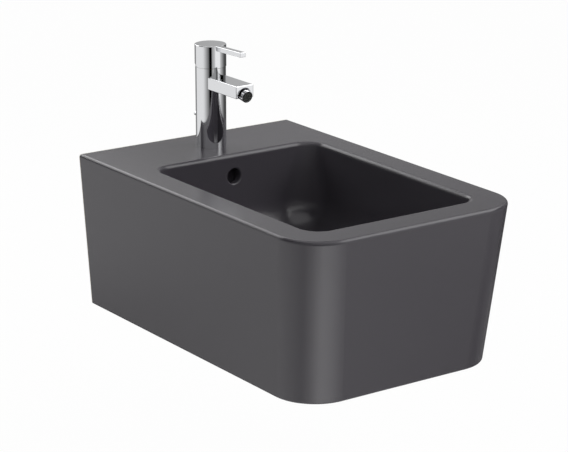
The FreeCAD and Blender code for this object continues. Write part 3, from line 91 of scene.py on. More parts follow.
class FittingLook(bpy.types.PropertyGroup):
    """Colours of the mixer, the waste and their small parts."""

    chrome: FloatVectorProperty(
        name="Chrome", description="Colour of the polished plating", subtype="COLOR", default=linear("#e9eaec"))
    brass: FloatVectorProperty(
        name="Brass", description="Colour of turned brass", subtype="COLOR", default=linear("#b89250"))
    zinc: FloatVectorProperty(
        name="Zinc", description="Colour of zinc plating", subtype="COLOR", default=linear("#b7babd"))
    steel: FloatVectorProperty(
        name="Stainless", description="Colour of drawn stainless steel", subtype="COLOR",
        default=linear("#c3c1bc"))
    rubber: FloatVectorProperty(
        name="Rubber", description="Colour of the seals", subtype="COLOR", default=linear("#1a1a1b"))
    pale_plastic: FloatVectorProperty(
        name="Pale plastic", description="Colour of the moulded inner parts", subtype="COLOR",
        default=linear("#dedbd2"))
    dark_plastic: FloatVectorProperty(
        name="Dark plastic", description="Colour of the jet insert and the index plug", subtype="COLOR",
        default=linear("#4a4c49"))
    disc: FloatVectorProperty(
        name="Disc", description="Colour of the lapped ceramic discs", subtype="COLOR",
        default=linear("#e9e4d8"))


class SmallParts(bpy.types.PropertyGroup):
    """Sizes of the nuts, the stud and the screw that CAD gives only as plain solids."""

    fixing_spacing: FloatProperty(
        name="Fixings", description="Distance between the two wall fixings", unit="LENGTH", default=180 * MM)
    fixing_bore: FloatProperty(
        name="Fixing bore", description="Bore of the wall nuts", unit="LENGTH", default=12.2 * MM)
    stud_bore: FloatProperty(
        name="Stud bore", description="Bore of the nut on the mixer's stud", unit="LENGTH", default=8.2 * MM)
    stud_pitch: FloatProperty(
        name="Stud pitch", description="Pitch of the thread on the mixer's stud", unit="LENGTH",
        default=1.25 * MM)
    screw_shank: FloatProperty(
        name="Screw shank", description="Diameter of the thumb screw's shank", unit="LENGTH", default=4 * MM)
    screw_head: FloatProperty(
        name="Screw head", description="Height of the thumb screw's head", unit="LENGTH", default=4 * MM)
    port: FloatProperty(
        name="Port", description="Diameter of the waste's port inside the cap nut", unit="LENGTH",
        default=21.2 * MM)
    port_grip: FloatProperty(
        name="Port grip", description="How far the cap nut reaches over the port", unit="LENGTH",
        default=6 * MM)
    ball_seat: FloatProperty(
        name="Ball seat", description="Diameter of the seat for the pivot's ball", unit="LENGTH",
        default=10.6 * MM)
    rod_way: FloatProperty(
        name="Rod way", description="Diameter of the hole that the pivot rod swings in", unit="LENGTH",
        default=9.2 * MM)


class StageLook(bpy.types.PropertyGroup):
    """Camera, floor and light."""

    camera_place: FloatVectorProperty(
        name="Camera", description="Where the camera stands", subtype="XYZ", unit="LENGTH",
        default=(-1.706118, -2.693582, 0.893745))
    azimuth: FloatProperty(
        name="Azimuth", description="How far left of the front the camera stands", subtype="ANGLE",
        default=math.radians(34.944))
    elevation: FloatProperty(
        name="Elevation", description="How far down the camera looks", subtype="ANGLE",
        default=math.radians(16.657))
    lens: FloatProperty(
        name="Lens", description="Focal length on a 36 mm wide sensor", unit="CAMERA", default=140.11)
    floor_below_rim: FloatProperty(
        name="Floor", description="Height of the rim above the floor", unit="LENGTH", default=400 * MM)
    floor_white: FloatProperty(
        name="Floor white", description="Share of plain white that the camera sees on the floor",
        subtype="FACTOR", default=0.98, min=0.0, max=1.0)
    tent_radius: FloatProperty(
        name="Tent", description="Radius of the studio's round light tent", unit="LENGTH", default=2.2)
    sky: FloatProperty(
        name="Sky", description="Level of the light from above the tent", default=0.1, min=0.0)


def add_node(tree, kind, values=None, links=None, **settings):
    """Add a node: settings are its own options, values fill its sockets, links join them to other nodes.

    A link comes from a socket, or from a node, whose first output in use is meant.
    """
    made = tree.nodes.new(kind)
    for name, value in settings.items():
        setattr(made, name, value)
    for socket, value in (values or {}).items():
        made.inputs[socket].default_value = value
    for socket, source in (links or {}).items():
        if isinstance(source, bpy.types.Node):
            source = next(output for output in source.outputs if output.enabled)
        tree.links.new(source, made.inputs[socket])
    return made


def new_material(name):
    """A material with an empty node tree, and the place on the piece that its patterns follow."""
    material = bpy.data.materials.get(name) or bpy.data.materials.new(name)
    material.use_nodes = True
    tree = material.node_tree
    tree.nodes.clear()
    return material, tree, add_node(tree, "ShaderNodeTexCoord").outputs["Object"]


def satin_glaze(look):
    """Satin glaze fired on vitreous china.

    The eye gets an even dark grey with faint clouding, a soft, spread sheen with a slow waviness, and
    the bare pale clay where the glaze was wiped off the face that stands against the wall.
    """
    material, tree, place = new_material("satin_glazed_china")
    clouds = add_node(tree, "ShaderNodeTexNoise", {"Scale": per_size(120)}, {"Vector": place})
    glaze = add_node(tree, "ShaderNodeMix", {"A": shade(look.glaze, 0.97), "B": shade(look.glaze, 1.03)},
                     {"Factor": clouds}, data_type="RGBA")
    ragged = add_node(tree, "ShaderNodeTexNoise", {"Scale": per_size(14)}, {"Vector": place})
    wavering = add_node(tree, "ShaderNodeMath", {1: 1.2 * MM}, {0: ragged}, operation="MULTIPLY")
    axes = add_node(tree, "ShaderNodeSeparateXYZ", links={"Vector": place})
    edge = add_node(tree, "ShaderNodeMath", links={0: axes.outputs["Y"], 1: wavering}, operation="ADD")
    bare = add_node(tree, "ShaderNodeMapRange", {"From Min": -0.9 * MM, "From Max": -0.6 * MM}, {"Value": edge})
    grit = add_node(tree, "ShaderNodeTexNoise", {"Scale": per_size(3), "Detail": 4.0}, {"Vector": place})
    clay = add_node(tree, "ShaderNodeMix", {"A": shade(look.biscuit, 0.8), "B": shade(look.biscuit, 1.1)},
                    {"Factor": grit}, data_type="RGBA")
    colour = add_node(tree, "ShaderNodeMix", links={"Factor": bare, "A": glaze, "B": clay}, data_type="RGBA")
    sheen = add_node(tree, "ShaderNodeTexNoise", {"Scale": per_size(25)}, {"Vector": place})
    gloss = add_node(tree, "ShaderNodeMapRange",
                     {"To Min": look.roughness - 0.03, "To Max": look.roughness + 0.03}, {"Value": sheen})
    rough = add_node(tree, "ShaderNodeMix", {"B": 0.85}, {"Factor": bare, "A": gloss})
    peel = add_node(tree, "ShaderNodeTexNoise", {"Scale": per_size(look.peel / MM)}, {"Vector": place})
    waves = add_node(tree, "ShaderNodeBump", {"Distance": 0.02 * MM}, {"Height": peel})
    surface = add_node(tree, "ShaderNodeBsdfPrincipled",
                       links={"Base Color": colour, "Roughness": rough, "Normal": waves})
    add_node(tree, "ShaderNodeOutputMaterial", links={"Surface": surface})
    return material


def polished_chrome(look):
    """Chrome plated on polished brass.

    The eye gets a clean mirror, with a trace of wiping marks where its gloss changes a little.
    """
    material, tree, place = new_material("polished_chrome")
    wiping = add_node(tree, "ShaderNodeTexNoise", {"Scale": per_size(18), "Detail": 4.0}, {"Vector": place})
    gloss = add_node(tree, "ShaderNodeMapRange",
                     {"From Min": 0.3, "From Max": 0.7, "To Min": 0.03, "To Max": 0.07}, {"Value": wiping})
    waves = add_node(tree, "ShaderNodeTexNoise", {"Scale": per_size(22)}, {"Vector": place})
    buffed = add_node(tree, "ShaderNodeBump", {"Distance": 0.004 * MM}, {"Height": waves})
    surface = add_node(tree, "ShaderNodeBsdfPrincipled", {"Base Color": shade(look.chrome), "Metallic": 1.0},
                       {"Roughness": gloss, "Normal": buffed})
    add_node(tree, "ShaderNodeOutputMaterial", links={"Surface": surface})
    return material


def turned_brass(look):
    """Brass cut on a lathe.

    The eye gets warm metal with fine rings of tool marks. Real marks are about 0.1 mm apart: these are
    four times as coarse, so that they show.
    """
    material, tree, place = new_material("turned_brass")
    flat = add_node(tree, "ShaderNodeMapping", {"Scale": (0.03, 0.03, 1.0)}, {"Vector": place})
    rings = add_node(tree, "ShaderNodeTexNoise", {"Scale": per_size(0.4), "Detail": 3.0}, {"Vector": flat})
    tarnish = add_node(tree, "ShaderNodeTexNoise", {"Scale": per_size(15), "Detail": 3.0}, {"Vector": place})
    colour = add_node(tree, "ShaderNodeMix", {"A": shade(look.brass, 0.75), "B": shade(look.brass, 1.15)},
                      {"Factor": tarnish}, data_type="RGBA")
    gloss = add_node(tree, "ShaderNodeMapRange",
                     {"From Min": 0.3, "From Max": 0.7, "To Min": 0.2, "To Max": 0.36}, {"Value": rings})
    marks = add_node(tree, "ShaderNodeBump", {"Distance": 0.02 * MM}, {"Height": rings})
    surface = add_node(tree, "ShaderNodeBsdfPrincipled", {"Metallic": 1.0},
                       {"Base Color": colour, "Roughness": gloss, "Normal": marks})
    add_node(tree, "ShaderNodeOutputMaterial", links={"Surface": surface})
    return material


def zinc_plate(look):
    """Zinc plated on pressed steel.

    The eye gets a pale grey in small crystal patches, each with its own soft shine.
    """
    material, tree, place = new_material("zinc_plated_steel")
    crystals = add_node(tree, "ShaderNodeTexVoronoi", {"Scale": per_size(2.5)}, {"Vector": place})
    patch = add_node(tree, "ShaderNodeSeparateColor", links={"Color": crystals.outputs["Color"]})
    colour = add_node(tree, "ShaderNodeMix", {"A": shade(look.zinc, 0.85), "B": shade(look.zinc, 1.1)},
                      {"Factor": patch}, data_type="RGBA")
    gloss = add_node(tree, "ShaderNodeMapRange", {"To Min": 0.28, "To Max": 0.46}, {"Value": patch})
    surface = add_node(tree, "ShaderNodeBsdfPrincipled", {"Metallic": 1.0},
                       {"Base Color": colour, "Roughness": gloss})
    add_node(tree, "ShaderNodeOutputMaterial", links={"Surface": surface})
    return material


def drawn_steel(look, name, along):
    """Stainless bar drawn through a die, with its streaks along one axis.

    The eye gets fine bright and dull lines that run the length of the bar. Real lines are under 0.1 mm
    wide: these are drawn several times as coarse, so that they show.
    """
    material, tree, place = new_material(name)
    drawn = add_node(tree, "ShaderNodeMapping", {"Scale": [0.02 if axis == along else 1.0 for axis in "XYZ"]},
                     {"Vector": place})
    streaks = add_node(tree, "ShaderNodeTexNoise", {"Scale": per_size(0.8)}, {"Vector": drawn})
    colour = add_node(tree, "ShaderNodeMix", {"A": shade(look.steel, 0.8), "B": shade(look.steel, 1.12)},
                      {"Factor": streaks}, data_type="RGBA")
    gloss = add_node(tree, "ShaderNodeMapRange",
                     {"From Min": 0.3, "From Max": 0.7, "To Min": 0.2, "To Max": 0.34}, {"Value": streaks})
    surface = add_node(tree, "ShaderNodeBsdfPrincipled", {"Metallic": 1.0},
                       {"Base Color": colour, "Roughness": gloss})
    add_node(tree, "ShaderNodeOutputMaterial", links={"Surface": surface})
    return material


def moulded_rubber(look):
    """Black rubber from a mould.

    The eye gets a dull black with a grey bloom and a fine grain, drawn coarser than it is, so that it shows.
    """
    material, tree, place = new_material("moulded_rubber")
    bloom = add_node(tree, "ShaderNodeTexNoise", {"Scale": per_size(8), "Detail": 4.0}, {"Vector": place})
    colour = add_node(tree, "ShaderNodeMix", {"A": shade(look.rubber, 0.7), "B": shade(look.rubber, 1.8)},
                      {"Factor": bloom}, data_type="RGBA")
    gloss = add_node(tree, "ShaderNodeMapRange", {"To Min": 0.6, "To Max": 0.9}, {"Value": bloom})
    grain = add_node(tree, "ShaderNodeTexNoise", {"Scale": per_size(0.5)}, {"Vector": place})
    pores = add_node(tree, "ShaderNodeBump", {"Distance": 0.02 * MM}, {"Height": grain})
    surface = add_node(tree, "ShaderNodeBsdfPrincipled",
                       links={"Base Color": colour, "Roughness": gloss, "Normal": pores})
    add_node(tree, "ShaderNodeOutputMaterial", links={"Surface": surface})
    return material


def moulded_acetal(name, colour, roughness):
    """Acetal from a mould.

    The eye gets an even colour, a low sheen and the faint grain of a spark-eroded mould, which is drawn a
    few times as coarse as it is, so that it shows.
    """
    material, tree, place = new_material(name)
    flow = add_node(tree, "ShaderNodeTexNoise", {"Scale": per_size(10)}, {"Vector": place})
    tint = add_node(tree, "ShaderNodeMix", {"A": shade(colour, 0.92), "B": shade(colour, 1.06)},
                    {"Factor": flow}, data_type="RGBA")
    gloss = add_node(tree, "ShaderNodeMapRange", {"To Min": roughness - 0.08, "To Max": roughness + 0.08},
                     {"Value": flow})
    grain = add_node(tree, "ShaderNodeTexNoise", {"Scale": per_size(0.6)}, {"Vector": place})
    eroded = add_node(tree, "ShaderNodeBump", {"Distance": 0.01 * MM}, {"Height": grain})
    surface = add_node(tree, "ShaderNodeBsdfPrincipled",
                       links={"Base Color": tint, "Roughness": gloss, "Normal": eroded})
    add_node(tree, "ShaderNodeOutputMaterial", links={"Surface": surface})
    return material


def pale_acetal(look):
    """The off-white acetal of sleeves, cartridge parts and the pivot's nut."""
    return moulded_acetal("moulded_acetal", look.pale_plastic, 0.42)


def dark_acetal(look):
    """The dark grey acetal of the jet insert and the index plug, a little glossier."""
    return moulded_acetal("moulded_dark_acetal", look.dark_plastic, 0.4)


def lapped_alumina(look):
    """Alumina ground flat and lapped.

    The eye gets an off-white that is almost as smooth as a mirror, with the haze of the lapping.
    """
    material, tree, place = new_material("lapped_alumina")
    haze = add_node(tree, "ShaderNodeTexNoise", {"Scale": per_size(4), "Detail": 3.0}, {"Vector": place})
    colour = add_node(tree, "ShaderNodeMix", {"A": shade(look.disc, 0.94), "B": shade(look.disc, 1.04)},
                      {"Factor": haze}, data_type="RGBA")
    gloss = add_node(tree, "ShaderNodeMapRange", {"To Min": 0.06, "To Max": 0.18}, {"Value": haze})
    surface = add_node(tree, "ShaderNodeBsdfPrincipled", links={"Base Color": colour, "Roughness": gloss})
    add_node(tree, "ShaderNodeOutputMaterial", links={"Surface": surface})
    return material


def paint(material, *names):
    """Put a material on CAD nodes."""
    for name in names:
        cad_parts[name].material_slots[0].material = material


def deselect():
    """Leave nothing selected, so that an operator acts on its own object alone."""
    bpy.ops.object.select_all(action="DESELECT")


# How a prism is turned when its axis runs up, or from front to back
UPRIGHT = (0.0, 0.0, 0.0)
LENGTHWISE = (math.pi / 2, 0.0, 0.0)

# Points closer than this are one, and edges sharper than this stay sharp
SAME_PLACE = 0.001 * MM
CREASE = math.radians(30)


def pick(piece):
    """Select one piece alone, so that the next operators act on it."""
    deselect()
    bpy.context.view_layer.objects.active = piece
    piece.select_set(True)


def settle(piece):
    """Put a piece's place, turn and scale into its mesh, so that its object sits at the origin."""
    pick(piece)
    bpy.ops.object.transform_apply(location=True, rotation=True, scale=True)


def start_piece(name, sides, radius, length, middle, turned=UPRIGHT):
    """Start a piece from a prism with its axis along Z, or along Y when turned lengthwise."""
    deselect()
    bpy.ops.mesh.primitive_cylinder_add(
        vertices=sides, radius=radius, depth=length, location=middle, rotation=turned)
    piece = bpy.context.object
    piece.name = name
    settle(piece)
    return piece


def select_faces(piece, wanted):
    """Go to edit mode with the faces that pass a test selected, and nothing else."""
    bpy.ops.object.mode_set(mode="EDIT")
    bpy.ops.mesh.select_mode(type="FACE")
    bpy.ops.mesh.select_all(action="DESELECT")
    bpy.ops.object.mode_set(mode="OBJECT")
    for face in piece.data.polygons:
        face.select = wanted(face)
    bpy.ops.object.mode_set(mode="EDIT")


def is_end(face):
    """Whether a face closes a prism's end, and isn't one of its four-cornered sides."""
    return len(face.vertices) > 4


def is_front(face):
    """Whether a face closes an end and looks to the front."""
    return is_end(face) and face.normal.y < 0


def is_back(face):
    """Whether a face closes an end and looks to the wall."""
    return is_end(face) and face.normal.y > 0


def cut(piece, tool, operation):
    """Cut a piece with a tool by an applied Boolean, and take the tool away."""
    pick(piece)
    bpy.ops.object.modifier_add(type="BOOLEAN")
    step = piece.modifiers[-1]
    step.operation = operation
    step.object = tool
    bpy.ops.object.modifier_apply(modifier=step.name)
    bpy.data.meshes.remove(tool.data)


def copy_piece(piece, name, shift):
    """A copy of a piece with a mesh of its own, moved along X."""
    copy = piece.copy()
    copy.data = piece.data.copy()
    copy.name = name
    bpy.context.collection.objects.link(copy)
    copy.location.x = shift
    settle(copy)
    return copy


def finish_piece(piece, material, body, node):
    """Clean a piece's mesh, give it its material and put it on its body in place of a CAD node."""
    pick(piece)
    bpy.ops.object.mode_set(mode="EDIT")
    bpy.ops.mesh.select_all(action="SELECT")
    bpy.ops.mesh.remove_doubles(threshold=SAME_PLACE)
    bpy.ops.mesh.normals_make_consistent(inside=False)
    bpy.ops.object.mode_set(mode="OBJECT")
    bpy.ops.object.shade_smooth_by_angle(angle=CREASE)
    piece.data.materials.clear()
    piece.data.materials.append(material)
    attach(piece, body)
    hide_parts(node)


# Nuts: the corners are turned off at this angle, down to a land that is a share of the flats' width, and the
# bore is sunk at both ends by a share of its diameter
CORNER_ANGLE = math.radians(30)
LAND_SHARE = 0.95
SINK_SHARE = 0.08
BLANK_SIDES = 72
DRILL_SIDES = 48


def hexagon_nut(name, across, height, bore, middle, turned):
    """A hexagon nut with its corners turned off at both ends and its bore countersunk."""
    corner = across / 2 / math.cos(math.radians(30))
    nut = start_piece(name, 6, corner, height, middle, turned)
    land = across / 2 * LAND_SHARE
    drop = (corner - land) * math.tan(CORNER_ANGLE)
    blank = start_piece(name + "_blank", BLANK_SIDES, corner, height - 2 * drop, middle, turned)
    select_faces(blank, is_end)
    bpy.ops.mesh.inset(thickness=corner - land, depth=drop)
    bpy.ops.object.mode_set(mode="OBJECT")
    cut(nut, blank, "INTERSECT")
    sink = bore * SINK_SHARE
    drill = start_piece(name + "_drill", DRILL_SIDES, bore / 2, height - 2 * sink, middle, turned)
    select_faces(drill, is_end)
    bpy.ops.mesh.inset(thickness=0, depth=2 * sink)
    flare = 1 + 4 * SINK_SHARE
    widened = (flare, flare, 1) if turned == UPRIGHT else (flare, 1, flare)
    bpy.ops.transform.resize(value=widened, center_override=middle)
    bpy.ops.object.mode_set(mode="OBJECT")
    cut(nut, drill, "DIFFERENCE")
    return nut


# Rolled thread: its depth as a share of the pitch, steps to a turn, and turns that are cut off again
THREAD_DEPTH = 0.61
THREAD_STEPS = 32
SPARE_TURNS = 3


def threaded_stud(name, low, high, pitch):
    """A stud with a rolled thread, from a V that is swept round and up and then cut to length."""
    middle = (low + high) / 2
    radius = (high.x - low.x) / 2
    depth = THREAD_DEPTH * pitch
    deselect()
    bpy.ops.mesh.primitive_plane_add(size=pitch / math.sqrt(2), rotation=(math.pi / 2, math.pi / 4, 0))
    stud = bpy.context.object
    stud.name = name
    settle(stud)
    bpy.ops.object.mode_set(mode="EDIT")
    bpy.ops.mesh.select_mode(type="VERT")
    bpy.ops.mesh.select_all(action="DESELECT")
    bpy.ops.object.mode_set(mode="OBJECT")
    inner = min(stud.data.vertices, key=lambda corner: corner.co.x)
    inner.select = True
    bpy.ops.object.mode_set(mode="EDIT")
    bpy.ops.mesh.delete(type="VERT")
    bpy.ops.mesh.select_all(action="SELECT")
    bpy.ops.transform.resize(value=(2 * THREAD_DEPTH, 1, 1), center_override=(0, 0, 0))
    bpy.ops.transform.translate(value=(radius - depth, 0, 0))
    bpy.ops.object.mode_set(mode="OBJECT")
    bpy.ops.object.modifier_add(type="SCREW")
    sweep = stud.modifiers[-1]
    sweep.screw_offset = pitch
    sweep.iterations = math.ceil((high.z - low.z) / pitch) + SPARE_TURNS
    sweep.steps = THREAD_STEPS
    sweep.render_steps = THREAD_STEPS
    sweep.use_merge_vertices = True
    sweep.merge_threshold = 10 * SAME_PLACE
    sweep.use_smooth_shade = False
    bpy.ops.object.modifier_apply(modifier=sweep.name)
    stud.location = (middle.x, middle.y, low.z - 2 * pitch)
    settle(stud)
    bpy.ops.object.mode_set(mode="EDIT")
    for end, outwards in ((low.z, -1), (high.z, 1)):
        bpy.ops.mesh.select_all(action="SELECT")
        bpy.ops.mesh.bisect(plane_co=(middle.x, middle.y, end), plane_no=(0, 0, outwards), use_fill=True,
                            clear_outer=True, threshold=SAME_PLACE)
    bpy.ops.object.mode_set(mode="OBJECT")
    return stud


# Thumb screw: the knurl's teeth, which stay a little inside the CAD solid, and the sunk middle of the head
KNURL_TEETH = 40
KNURL_DEPTH = 0.3 * MM
KNURL_RISE = 0.95 * KNURL_DEPTH
KNURL_FLANK = 0.16 * MM
HEAD_BORDER = 0.5 * MM
HEAD_SUNK = 0.3 * MM


def thumb_screw(name, low, high, shank, grip):
    """A thumb screw along Y, with a knurled head at its back end."""
    middle = Vector(((low.x + high.x) / 2, high.y - grip / 2, (low.z + high.z) / 2))
    core = (high.x - low.x) / 2 - KNURL_DEPTH
    screw = start_piece(name, KNURL_TEETH, core, grip, middle, LENGTHWISE)
    select_faces(screw, lambda face: not is_end(face))
    bpy.ops.mesh.inset(thickness=KNURL_FLANK, depth=KNURL_RISE, use_individual=True)
    select_faces(screw, is_front)
    bpy.ops.mesh.inset(thickness=core - shank / 2)
    bpy.ops.mesh.extrude_region_move(TRANSFORM_OT_translate={"value": (0, low.y - high.y + grip, 0)})
    select_faces(screw, is_back)
    bpy.ops.mesh.inset(thickness=HEAD_BORDER)
    bpy.ops.mesh.inset(thickness=HEAD_SUNK, depth=-HEAD_SUNK)
    bpy.ops.object.mode_set(mode="OBJECT")
    return screw


# Cap nut: sides of its blank, of which every third carries a rib that stays a little inside the CAD solid, and
# the slope of the ball's seat
CAP_SIDES = 72
RIB_EVERY = 3
RIB_HEIGHT = 0.9 * MM
RIB_RISE = 0.97 * RIB_HEIGHT
RIB_FLANK = 0.25 * MM
SEAT_SLOPE = 1.4


def ribbed_cap_nut(name, low, high, parts):
    """A cap nut along Y, ribbed for the hand, open at the front and with a round seat for the ball."""
    middle = (low + high) / 2
    body = (high.x - low.x) / 2 - RIB_HEIGHT
    nut = start_piece(name, CAP_SIDES, body, high.y - low.y, middle, LENGTHWISE)
    select_faces(nut, is_front)
    bpy.ops.mesh.inset(thickness=body - parts.port / 2)
    bpy.ops.mesh.extrude_region_move(TRANSFORM_OT_translate={"value": (0, parts.port_grip, 0)})
    bpy.ops.mesh.inset(thickness=(parts.port - parts.ball_seat) / 2)
    lip = (parts.ball_seat - parts.rod_way) / 2
    bpy.ops.mesh.inset(thickness=lip, depth=-SEAT_SLOPE * lip)
    select_faces(nut, is_back)
    bpy.ops.mesh.inset(thickness=body - parts.rod_way / 2)
    select_faces(nut, is_end)
    bpy.ops.mesh.bridge_edge_loops()

    def is_rib(face):
        """Whether a face is one of the outer sides that carry a rib."""
        out = face.center - middle
        outside = math.hypot(out.x, out.z) > body - RIB_HEIGHT / 3
        side = math.floor(math.atan2(out.z, out.x) / (2 * math.pi) * CAP_SIDES)
        return outside and abs(face.normal.y) < 0.1 and side % RIB_EVERY == 0

    select_faces(nut, is_rib)
    bpy.ops.mesh.inset(thickness=RIB_FLANK, depth=RIB_RISE, use_individual=True)
    bpy.ops.object.mode_set(mode="OBJECT")
    return nut


class BIDET_OT_ceramic(bpy.types.Operator):
    """Glaze the ceramic body"""

    bl_idname = "bidet.ceramic"
    bl_label = "Ceramic body"

    def execute(self, context):
        paint(satin_glaze(context.scene.bidet_ceramic), "ceramic_body")
        return {"FINISHED"}


class BIDET_OT_fixings(bpy.types.Operator):
    """Finish the wall fixings and make their nuts"""

    bl_idname = "bidet.fixings"
    bl_label = "Wall fixings"

    def execute(self, context):
        look = context.scene.bidet_fittings
        parts = context.scene.bidet_small_parts
        zinc = zinc_plate(look)
        paint(pale_acetal(look), "wall_sleeves")
        paint(zinc, "wall_washers")
        low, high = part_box("wall_nuts")
        across = high.x - low.x - parts.fixing_spacing
        middle = (low + high) / 2 - Vector((parts.fixing_spacing / 2, 0, 0))
        left = hexagon_nut("wall_nut_left", across, high.y - low.y, parts.fixing_bore, middle, LENGTHWISE)
        right = copy_piece(left, "wall_nut_right", parts.fixing_spacing)
        for nut in (left, right):
            finish_piece(nut, zinc, "bidet", "wall_nuts")
        return {"FINISHED"}


class BIDET_OT_mixer(bpy.types.Operator):
    """Plate the mixer and make the stud and the nut that hold it to the deck"""

    bl_idname = "bidet.mixer"
    bl_label = "Mixer"

    def execute(self, context):
        look = context.scene.bidet_fittings
        parts = context.scene.bidet_small_parts
        zinc = zinc_plate(look)
        paint(polished_chrome(look), "mixer_body")
        paint(moulded_rubber(look), "mixer_gasket", "clamp_gasket")
        paint(zinc, "clamp_plate")
        low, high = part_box("clamp_nut")
        across = high.x - low.x
        middle = (low + high) / 2
        nut = hexagon_nut("clamp_nut_turned", across, high.z - low.z, parts.stud_bore, middle, UPRIGHT)
        finish_piece(nut, zinc, "bidet", "clamp_nut")
        stud = threaded_stud("mixer_stud_threaded", *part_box("mixer_stud"), parts.stud_pitch)
        finish_piece(stud, zinc, "bidet", "mixer_stud")
        return {"FINISHED"}


class BIDET_OT_cartridge(bpy.types.Operator):
    """Finish the cartridge inside the mixer"""

    bl_idname = "bidet.cartridge"
    bl_label = "Cartridge"

    def execute(self, context):
        look = context.scene.bidet_fittings
        paint(pale_acetal(look), "cartridge_base", "cartridge_housing", "cartridge_carrier")
        paint(moulded_rubber(look), "cartridge_base_seals", "cartridge_o_ring")
        paint(lapped_alumina(look), "fixed_disc", "moving_disc")
        paint(turned_brass(look), "cartridge_stem", "cartridge_nut")
        paint(drawn_steel(look, "drawn_steel_across", "X"), "stem_pin")
        return {"FINISHED"}


class BIDET_OT_handle(bpy.types.Operator):
    """Plate the handle and finish its screw and index plug"""

    bl_idname = "bidet.handle"
    bl_label = "Handle"

    def execute(self, context):
        look = context.scene.bidet_fittings
        paint(polished_chrome(look), "handle")
        paint(drawn_steel(look, "drawn_steel_lengthwise", "Y"), "handle_screw")
        paint(dark_acetal(look), "index_plug")
        return {"FINISHED"}


class BIDET_OT_nozzle(bpy.types.Operator):
    """Plate the nozzle and finish its ball joint and jet insert"""

    bl_idname = "bidet.nozzle"
    bl_label = "Nozzle"

    def execute(self, context):
        look = context.scene.bidet_fittings
        paint(polished_chrome(look), "nozzle")
        paint(turned_brass(look), "ball_stud")
        paint(pale_acetal(look), "ball_seat_ring")
        paint(dark_acetal(look), "aerator_insert")
        return {"FINISHED"}


class BIDET_OT_lift(bpy.types.Operator):
    """Finish the pop-up linkage and make its screw and its cap nut"""

    bl_idname = "bidet.lift"
    bl_label = "Pop-up linkage"

    def execute(self, context):
        look = context.scene.bidet_fittings
        parts = context.scene.bidet_small_parts
        zinc = zinc_plate(look)
        paint(polished_chrome(look), "lift_knob")
        paint(drawn_steel(look, "drawn_steel_upright", "Z"), "lift_rod")
        paint(drawn_steel(look, "drawn_steel_lengthwise", "Y"), "pivot_rod")
        paint(zinc, "link_strap")
        paint(turned_brass(look), "strap_clamp")
        paint(moulded_rubber(look), "pivot_seal")
        screw = thumb_screw("strap_screw_knurled", *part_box("strap_screw"), parts.screw_shank, parts.screw_head)
        finish_piece(screw, zinc, "lift", "strap_screw")
        nut = ribbed_cap_nut("pivot_nut_ribbed", *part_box("pivot_nut"), parts)
        finish_piece(nut, pale_acetal(look), "bidet", "pivot_nut")
        return {"FINISHED"}


class BIDET_OT_waste(bpy.types.Operator):
    """Finish the waste and its plug"""

    bl_idname = "bidet.waste"
    bl_label = "Waste"

    def execute(self, context):
        look = context.scene.bidet_fittings
        paint(polished_chrome(look), "waste_flange", "waste_plug")
        paint(turned_brass(look), "waste_body")
        paint(moulded_rubber(look), "flange_seal", "waste_gasket", "plug_seal")
        return {"FINISHED"}


# The light tent's rings, from the top: name, heights of the upper and lower edge in metres, and brightness by
# degrees to the right of the camera, seen from the object. The lower ring's levels were set from the
# reflections on the pillar. The others are the rounded result of a fit, made by a separate program, to the
# reflections on the glaze.
TENT_RINGS = (
    ("tent_crown", 3.4, 2.2, (
        (-180, 0.0), (-15, 0.0), (15, 0.2), (45, 0.45), (75, 3.0), (105, 4.0), (135, 2.4), (165, 0.0),
        (180, 0.0))),
    ("tent_shoulder", 2.2, 1.54, (
        (-180, 1.0), (-165, 2.0), (-135, 4.0), (-105, 0.0), (-45, 0.0), (-15, 0.95), (15, 1.7), (45, 1.8),
        (75, 4.0), (105, 3.5), (135, 2.2), (165, 0.0), (180, 1.0))),
    ("tent_upper", 1.54, 0.75, (
        (-180, 0.45), (-172, 0.65), (-158, 3.3), (-142, 2.9), (-128, 2.35), (-112, 2.55), (-98, 0.4),
        (-82, 0.0), (-68, 0.0), (-52, 0.35), (52, 0.35), (68, 3.3), (82, 2.75), (98, 0.0), (112, 0.0),
        (128, 0.35), (142, 0.65), (158, 0.3), (172, 0.25), (180, 0.45))),
    ("tent_middle", 0.75, 0.115, (
        (-180, 0.5), (-172, 0.4), (-158, 0.0), (-112, 0.0), (-98, 0.95), (-82, 0.0), (-68, 0.15), (-52, 0.35),
        (38, 0.35), (52, 0.0), (68, 0.9), (82, 0.0), (112, 0.0), (128, 0.15), (142, 0.1), (158, 0.3),
        (172, 0.55), (180, 0.5))),
    ("tent_lower", 0.115, -0.89, (
        (-180, 0.22), (-133, 0.28), (-127, 0.85), (-70, 0.85), (-57, 0.8), (-30, 0.35), (-11, 0.1), (-10, 0.0),
        (8, 0.0), (10, 0.35), (33, 0.6), (39, 0.95), (75, 0.95), (83, 0.6), (100, 0.35), (122, 0.1),
        (146, 0.05), (180, 0.22))),
    ("tent_foot", -0.89, -2.3, (
        (-180, 0.0), (-130, 0.0), (-110, 0.7), (-90, 1.05), (-70, 1.15), (-50, 1.05), (-30, 0.8), (-10, 1.55),
        (10, 2.8), (30, 2.4), (50, 1.55), (70, 0.6), (90, 0.15), (130, 0.27), (150, 0.12), (170, 0.0),
        (180, 0.0))),
)
TENT_Y = -0.28
TENT_SIDES = 96
FLOOR_SPAN = 30.0
FLOOR_PAINT = (0.85, 0.85, 0.85, 1)
SENSOR_WIDTH = 36.0
FAR_CLIP = 60.0


